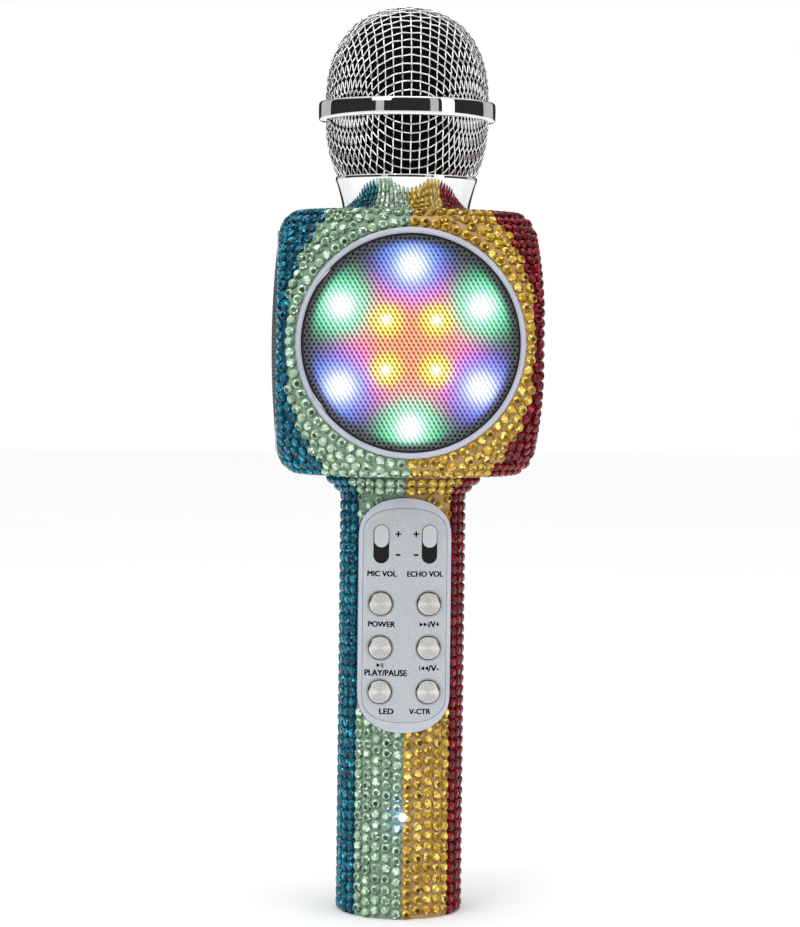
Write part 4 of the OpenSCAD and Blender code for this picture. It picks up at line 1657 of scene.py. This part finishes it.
LABELS = (
    Label("MIC VOL", -6.3, 94.8, 7.9),
    Label("ECHO VOL", 5.5, 94.8, 9.8),
    Label("POWER", -6.3, 81.0, 7.25),
    Label("/V+", 8.1, 81.0, 2.9),
    Label("PLAY/PAUSE", -5.0, 67.7, 11.5),
    Label("/V-", 8.1, 69.0, 2.9),
    Label("LED", -4.75, 57.2, 3.8),
    Label("V-CTR", 4.4, 57.2, 5.75),
    Label("+", -2.0, 105.7, 1.5),
    Label("+", 2.9, 105.7, 1.5),
    Label("-", -2.0, 100.0, 1.1),
    Label("-", 2.9, 100.0, 1.1),
)


@dataclass
class ControlPanel:
    """The panel's print, the rings round its buttons, and the liners of its two slots."""

    plate_out: float = 18.3 * MM
    bow_r: float = 40 * MM
    cap_height: float = 1.45 * MM

    def front(self, x: float) -> float:
        """Gives the plate's front at a place across it."""
        return -(self.plate_out - self.bow_r + math.sqrt(self.bow_r**2 - x**2))

    def words(self, label: Label, shift: tuple[float, float]) -> bpy.types.Object:
        """Sets one label in type, a little to one side so that four make it bold, as a thin mesh."""
        bpy.ops.object.select_all(action="DESELECT")
        bpy.ops.object.text_add()
        text = bpy.context.object
        text.data.body = label.words
        text.data.size = 2 * MM
        text.data.extrude = 0.02 * MM
        text.data.resolution_u = 4
        hold(text)
        bpy.ops.object.convert(target="MESH")
        piece = bpy.context.object
        xs = [v.co.x for v in piece.data.vertices]
        ys = [v.co.y for v in piece.data.vertices]
        sizes = (max(xs) - min(xs), max(ys) - min(ys))
        wide = label.width * MM / sizes[0]
        tall = wide if label.words in "+-" else self.cap_height / sizes[1]
        if "/" in label.words:
            tall = self.cap_height * 1.12 / sizes[1]
        centre = ((max(xs) + min(xs)) / 2, (max(ys) + min(ys)) / 2)
        self.lay(piece, centre, (wide, tall), ((label.x + shift[0]) * MM, (label.z + shift[1]) * MM))
        return piece

    def lay(self, piece: bpy.types.Object, centre: tuple, scale: tuple, at: tuple) -> None:
        """Lays a flat piece, drawn in the XY plane, on the bowed plate."""

        def onto(places: np.ndarray) -> np.ndarray:
            """Turns the places upright and sets them on the plate."""
            x = (places[:, 0] - centre[0]) * scale[0] + at[0]
            z = (places[:, 1] - centre[1]) * scale[1] + at[1]
            y = np.array([self.front(value) for value in x]) - places[:, 2] - 0.012 * MM
            return np.stack([x, y, z], axis=1)

        shape(piece, onto)

    def symbol(self, parts: str, x: float, z: float, width: float) -> list[bpy.types.Object]:
        """Draws a transport symbol of triangles (< and >) and bars (|), from left to right."""
        widths = {"<": 0.95, ">": 0.95, "|": 0.3}
        total = sum(widths[p] for p in parts) + 0.12 * (len(parts) - 1)
        scale = width / total
        left = -total / 2
        made = []
        for part in parts:
            middle = left + widths[part] / 2
            left += widths[part] + 0.12
            if part == "|":
                piece = begin(bpy.ops.mesh.primitive_plane_add, "bar", size=1.0)
                scales = (widths["|"] * 0.7 * scale * MM, 1.25 * MM)
                centre = (0.0, 0.0)
            else:
                sizes = {"vertices": 3, "radius": 1.0, "fill_type": "NGON"}
                piece = begin(bpy.ops.mesh.primitive_circle_add, "arrow", **sizes)
                flip = 1 if part == ">" else -1
                shape(piece, lambda p, s=flip: np.stack([s * (p[:, 1] - 0.25), p[:, 0], p[:, 2]], axis=1))
                scales = (0.95 / 1.5 * scale * MM, 1.25 / 1.73 * MM)
                centre = (0.0, 0.0)
            edit(piece, None)
            bpy.ops.mesh.extrude_region_move(TRANSFORM_OT_translate={"value": (0, 0, 0.02 * MM)})
            close()
            self.lay(piece, centre, scales, ((x + middle * scale) * MM, z * MM))
            made.append(piece)
        return made

    def print_all(self, ink: bpy.types.Material) -> None:
        """Prints every label and symbol, as one piece."""
        shifts = ((-0.08, -0.04), (0.08, -0.04), (-0.08, 0.04), (0.08, 0.04))
        pieces = [self.words(label, shift) for label in LABELS for shift in shifts]
        pieces += self.symbol(">>|", 5.35, 81.0, 2.5)
        pieces += self.symbol("|<<", 5.35, 69.0, 2.5)
        pieces += self.symbol(">||", -6.6, 69.75, 1.9)
        whole = join("panel_print", pieces)
        tidy(whole, 0.0005 * MM)
        dress(whole, ink)

    def rings(self, chrome: bpy.types.Material) -> None:
        """Turns the thin ring that stands in the plate around each button, its chrome darkened as painted
        shade of the gap round the button.
        """
        outline = [(3.28, 0.0), (3.63, 0.0), (3.63, 1.1), (3.55, 1.26), (3.4, 1.26), (3.28, 1.14)]
        model = lathe("ring", [(r * MM, z * MM) for r, z in outline], 64)
        for name in ("power", "play", "lamp", "next", "previous", "voice"):
            low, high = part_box(f"button_{name}")
            centre = (low + high) / 2
            place = Matrix.Translation((centre.x, self.front(centre.x) + 1.1 * MM, centre.z))
            ring = turned(model, f"button_ring_{name}", place @ Matrix.Rotation(math.radians(90), 4, "X"))
            dress(ring, chrome)
        bpy.data.objects.remove(model)

    def liners(self, gloss: bpy.types.Material) -> None:
        """Models the glossy black trough in each slider's slot."""
        for name in ("mic", "echo"):
            low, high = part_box(f"knob_{name}_volume")
            x, top = (low.x + high.x) / 2, 102.9 * MM
            sizes = {"vertices": 48, "radius": 2.14 * MM, "fill_type": "NGON"}
            tip = (math.radians(90), 0, 0)
            liner = begin(bpy.ops.mesh.primitive_circle_add, f"slot_liner_{name}", rotation=tip, **sizes)
            edit(liner, None, "EDGE")
            bpy.ops.mesh.extrude_region_move(TRANSFORM_OT_translate={"value": (0, -0.9 * MM, 0)})
            close()
            half = (10.6 - 4.3) / 2 * MM

            def stretch(places: np.ndarray) -> np.ndarray:
                """Pulls the round trough out to the slot's length and sets it in place."""
                out = places.copy()
                out[:, 2] += np.sign(np.round(places[:, 2], 7)) * half + top
                out[:, 0] += x
                out[:, 1] -= 16.15 * MM
                return out

            shape(liner, stretch)
            apply(liner, "SOLIDIFY", thickness=0.08 * MM, offset=0.0)
            smooth(liner)
            dress(liner, gloss)

    def build(self, ink: bpy.types.Material, ring: bpy.types.Material, gloss: bpy.types.Material) -> None:
        """Makes the panel's details."""
        self.print_all(ink)
        self.rings(ring)
        self.liners(gloss)


# Solids that keep their shape ---------------------------------------------


@dataclass
class PlainParts:
    """The solids whose own shape is right, which only need their finish."""

    finishes: dict[str, bpy.types.Material]
    by_node: dict[str, bpy.types.Material]

    def build(self) -> None:
        """Gives every solid the finish of its slot, or its own."""
        for name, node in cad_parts.items():
            slot = node.data.materials[0].name.split(".")[0]
            material = self.by_node.get(name, self.finishes.get(slot))
            if material is None:
                raise ValueError(f"{name} has no finish for {slot}")
            for holder in node.material_slots:
                holder.material = material
            if not node.hide_render:
                log.info("%s: finished as %s", name, material.name)


# Studio -------------------------------------------------------------------


@dataclass
class Studio:
    """The pale floor, the soft lights and the camera."""

    distance: float = 0.760
    height: float = 0.1593
    azimuth: float = -2.8
    roll: float = 0.65

    def camera(self) -> None:
        """Sets the camera level with the housing, a little to the left, framing the whole."""
        lens = bpy.data.cameras.new("camera")
        lens.sensor_width = lens.sensor_height = 36.0
        lens.lens = 105.4
        lens.shift_x = -0.005
        lens.shift_y = -0.1354
        camera = bpy.data.objects.new("camera", lens)
        turn = math.radians(self.azimuth)
        camera.matrix_world = (
            Matrix.Translation((self.distance * math.sin(turn), -self.distance * math.cos(turn), self.height))
            @ Matrix.Rotation(turn, 4, "Z")
            @ Matrix.Rotation(math.radians(90), 4, "X")
            @ Matrix.Rotation(math.radians(self.roll), 4, "Z")
        )
        bpy.context.scene.collection.objects.link(camera)
        bpy.context.scene.camera = camera

    def softbox(self, name: str, place: tuple, size: tuple, watts: float, colour: Colour = (1, 1, 1)) -> None:
        """Hangs a rectangular light that faces the housing."""
        lamp = bpy.data.lights.new(name, "AREA")
        lamp.shape = "RECTANGLE"
        lamp.size, lamp.size_y = size
        lamp.energy = watts
        lamp.color = colour
        box = bpy.data.objects.new(name, lamp)
        box.location = place
        box.rotation_euler = (Vector((0, 0, 0.14)) - Vector(place)).to_track_quat("-Z", "Y").to_euler()
        bpy.context.scene.collection.objects.link(box)

    def room(self) -> None:
        """Paints the room: white where it is seen, with dark cards that only polished faces mirror."""
        world = bpy.data.worlds.new("room")
        bpy.context.scene.world = world
        world.use_nodes = True
        nodes, links = world.node_tree.nodes, world.node_tree.links
        nodes.clear()
        bench = ShaderBench("room", world)
        out = bench.node("ShaderNodeOutputWorld")
        place = bench.link("ShaderNodeTexCoord", out="Generated")
        way = bench.node("ShaderNodeSeparateXYZ", feeds={0: place})
        x, y, z = (Link(bench, way.outputs[i]) for i in range(3))
        radians = bench.link("ShaderNodeMath", {"operation": "ARCTAN2"}, {0: x, 1: y * -1.0})
        turn = radians * (180 / math.pi) + 2.8
        wide = turn.sum_of("ABSOLUTE", turn)
        level = (z < 0.5) * (z > -0.6)
        gaps = (wide > 30.0) * (wide < 41.0) + (wide > 118.0) * (wide < 150.0)
        cards = (1.0 - gaps) * level
        path = bench.node("ShaderNodeLightPath")
        seen = Link(bench, path.outputs["Is Camera Ray"])
        mirrored = Link(bench, path.outputs["Is Glossy Ray"])
        reflected = (1.0 - cards * 0.95) * (0.55 + z.ease(0.45, 0.8) * 0.5)
        strength = seen + (1.0 - seen) * (mirrored * reflected + (1.0 - mirrored) * 1.04)
        shell = bench.node("ShaderNodeBackground", feeds={"Color": (1.0, 1.0, 1.0), "Strength": strength})
        links.new(shell.outputs[0], out.inputs["Surface"])

    def build(self) -> None:
        """Sets up the floor, the lights and the camera."""
        floor = begin(bpy.ops.mesh.primitive_plane_add, "floor", size=6.0)
        bench = ShaderBench("pale_floor")
        cloud = bench.noise(3, 2)
        pale = bench.blend((0.93, 0.93, 0.93), (0.95, 0.95, 0.95), cloud)
        floor.data.materials.append(bench.finish(base_color=pale, roughness=0.95))
        floor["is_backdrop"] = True
        self.softbox("key", (-0.55, -0.75, 0.65), (0.45, 0.45), 2.6)
        self.softbox("fill", (0.75, -0.6, 0.35), (0.3, 0.6), 1.0)
        self.softbox("top", (0.0, -0.1, 0.9), (0.4, 0.4), 1.2)
        glint = bpy.data.lights.new("lamp_spill", "POINT")
        glint.energy, glint.shadow_soft_size, glint.color = 0.0012, 0.8 * MM, (0.06, 0.25, 1.0)
        spill = bpy.data.objects.new("lamp_spill", glint)
        spill.location = (0.0, -20.5 * MM, 28 * MM)
        bpy.context.scene.collection.objects.link(spill)
        bpy.context.scene.view_settings.view_transform = "Standard"
        self.camera()


def corners() -> list[list[float]]:
    """Gives the shown object's lowest and highest corner as plain lists."""
    return [list(corner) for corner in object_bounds()]


def finishes() -> dict[str, bpy.types.Material]:
    """Makes the finish of every slot that its solids keep."""
    lavender = tint(174, 177, 190)
    return {
        "shell_plastic": StoneFilm("handle_film", STONE_EDGES["handle"]).material(),
        "bezel_plastic": Moulded("bezel_plastic", lavender, 0.3, 0.01 * MM, coat=0.35).material(),
        "grille_steel": PerforatedSteel("grille_plain", False).material(),
        "diffuser": LitSheet("lit_sheet").material(),
        "lamp_board": BoardLacquer("lamp_board", (0.75, 0.76, 0.78), (0.6, 0.55, 0.4)).material(),
        "basket_steel": Moulded("basket_paint", (0.02, 0.02, 0.022), 0.4, 0.03 * MM).material(),
        "cone_paper": Moulded("cone_paper", (0.025, 0.025, 0.027), 0.8, 0.12 * MM, 900.0).material(),
        "diaphragm_rubber": Moulded("diaphragm_rubber", (0.012, 0.012, 0.013), 0.6, 0.02 * MM).material(),
        "circuit_board": BoardLacquer("green_board", (0.01, 0.11, 0.035), (0.03, 0.2, 0.07)).material(),
        "black_plastic": Moulded("black_plastic", (0.012, 0.012, 0.013), 0.35, 0.015 * MM).material(),
        "plated_steel": Plated("zinc_plate", (0.72, 0.73, 0.74), 0.18, 0.12).material(),
        "faceplate_metal": BlastedPlate().material(),
        "button_metal": Plated("turned_metal", (0.8, 0.79, 0.77), 0.25, 0.1).material(),
        "knob_chrome": Plated("knob_chrome", (0.62, 0.62, 0.63), 0.08, 0.05).material(),
        "battery_wrap": Moulded("battery_wrap", (0.02, 0.1, 0.4), 0.25, 0.01 * MM, coat=0.5).material(),
        "lamp_lens": LampLens("lamp_lens", (0.2, 0.5, 1.0), 3.2).material(),
        "chrome": Plated("chrome", (0.87, 0.88, 0.89), 0.035, 0.03).material(),
        "wire_mesh": Plated("wire_nickel", (0.88, 0.88, 0.88), 0.08, 0.06).material(),
        "foam": OpenFoam().material(),
        "capsule_brass": Plated("capsule_brass", (0.75, 0.55, 0.25), 0.2, 0.1).material(),
    }


def glasses() -> dict[Hue, bpy.types.Material]:
    """Makes the four colours of cut glass."""
    # Each hue's four colours run from painted shade, through the glass's body, to a painted highlight and a
    # painted glint.
    shades = {
        Hue.TEAL: (tint(0, 14, 24), tint(0, 54, 72), tint(0, 98, 122), tint(44, 175, 200)),
        Hue.MINT: (tint(24, 34, 28), tint(104, 132, 108), tint(160, 192, 160), tint(236, 252, 234)),
        Hue.GOLD: (tint(46, 30, 2), tint(132, 98, 10), tint(192, 148, 30), tint(255, 240, 140)),
        Hue.RED: (tint(24, 0, 3), tint(68, 0, 7), tint(102, 2, 11), tint(180, 40, 50)),
    }
    return {hue: CutGlass(f"glass_{hue.value}", *four).material() for hue, four in shades.items()}


def main() -> None:
    """Builds the microphone's looks in order."""
    logging.basicConfig(level=logging.INFO, format="%(message)s", stream=sys.stdout)
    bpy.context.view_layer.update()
    Studio().build()
    Studio().room()
    finish = finishes()
    glass = glasses()
    housing_film = StoneFilm("housing_film", STONE_EDGES["housing"]).material()
    HousingShells().build(housing_film)
    StoneCover().build(glass)
    lit = PerforatedSteel("grille_lit", True).material()
    # Near-black grille rims: painted shade of the gap between each bezel and its grille.
    rim_black = Moulded("rim_black", (0.006, 0.006, 0.007), 0.4, 0.01 * MM).material()
    SpeakerGrilles().build(lit, finish["grille_steel"], rim_black)
    Head().build(finish["wire_mesh"], finish["chrome"], finish["foam"])
    # A darkened chrome for the button rings: painted shade of the gap round each button.
    gap_shade_chrome = Plated("gap_shade_chrome", (0.42, 0.42, 0.43), 0.08, 0.05).material()
    ink = Moulded("panel_ink", (0.001, 0.001, 0.0012), 0.8, 0.004 * MM, shine=0.05).material()
    gloss = Moulded("gloss_black", (0.001, 0.001, 0.001), 0.25, 0.002 * MM, shine=0.3).material()
    ControlPanel().build(ink, gap_shade_chrome, gloss)
    own = {"end_cap": finish["shell_plastic"], "control_bezel": finish["bezel_plastic"]}
    for hue in Hue:
        own[f"stones_{hue.value}"] = glass[hue]
    for name in ("power", "play", "lamp", "next", "previous", "voice"):
        low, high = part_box(f"button_{name}")
        centre = (low + high) / 2
        own[f"button_{name}"] = SpunCap(f"spun_{name}", centre.x / MM, centre.z / MM).material()
    PlainParts(finish, own).build()


if __name__ == "__main__":
    main()
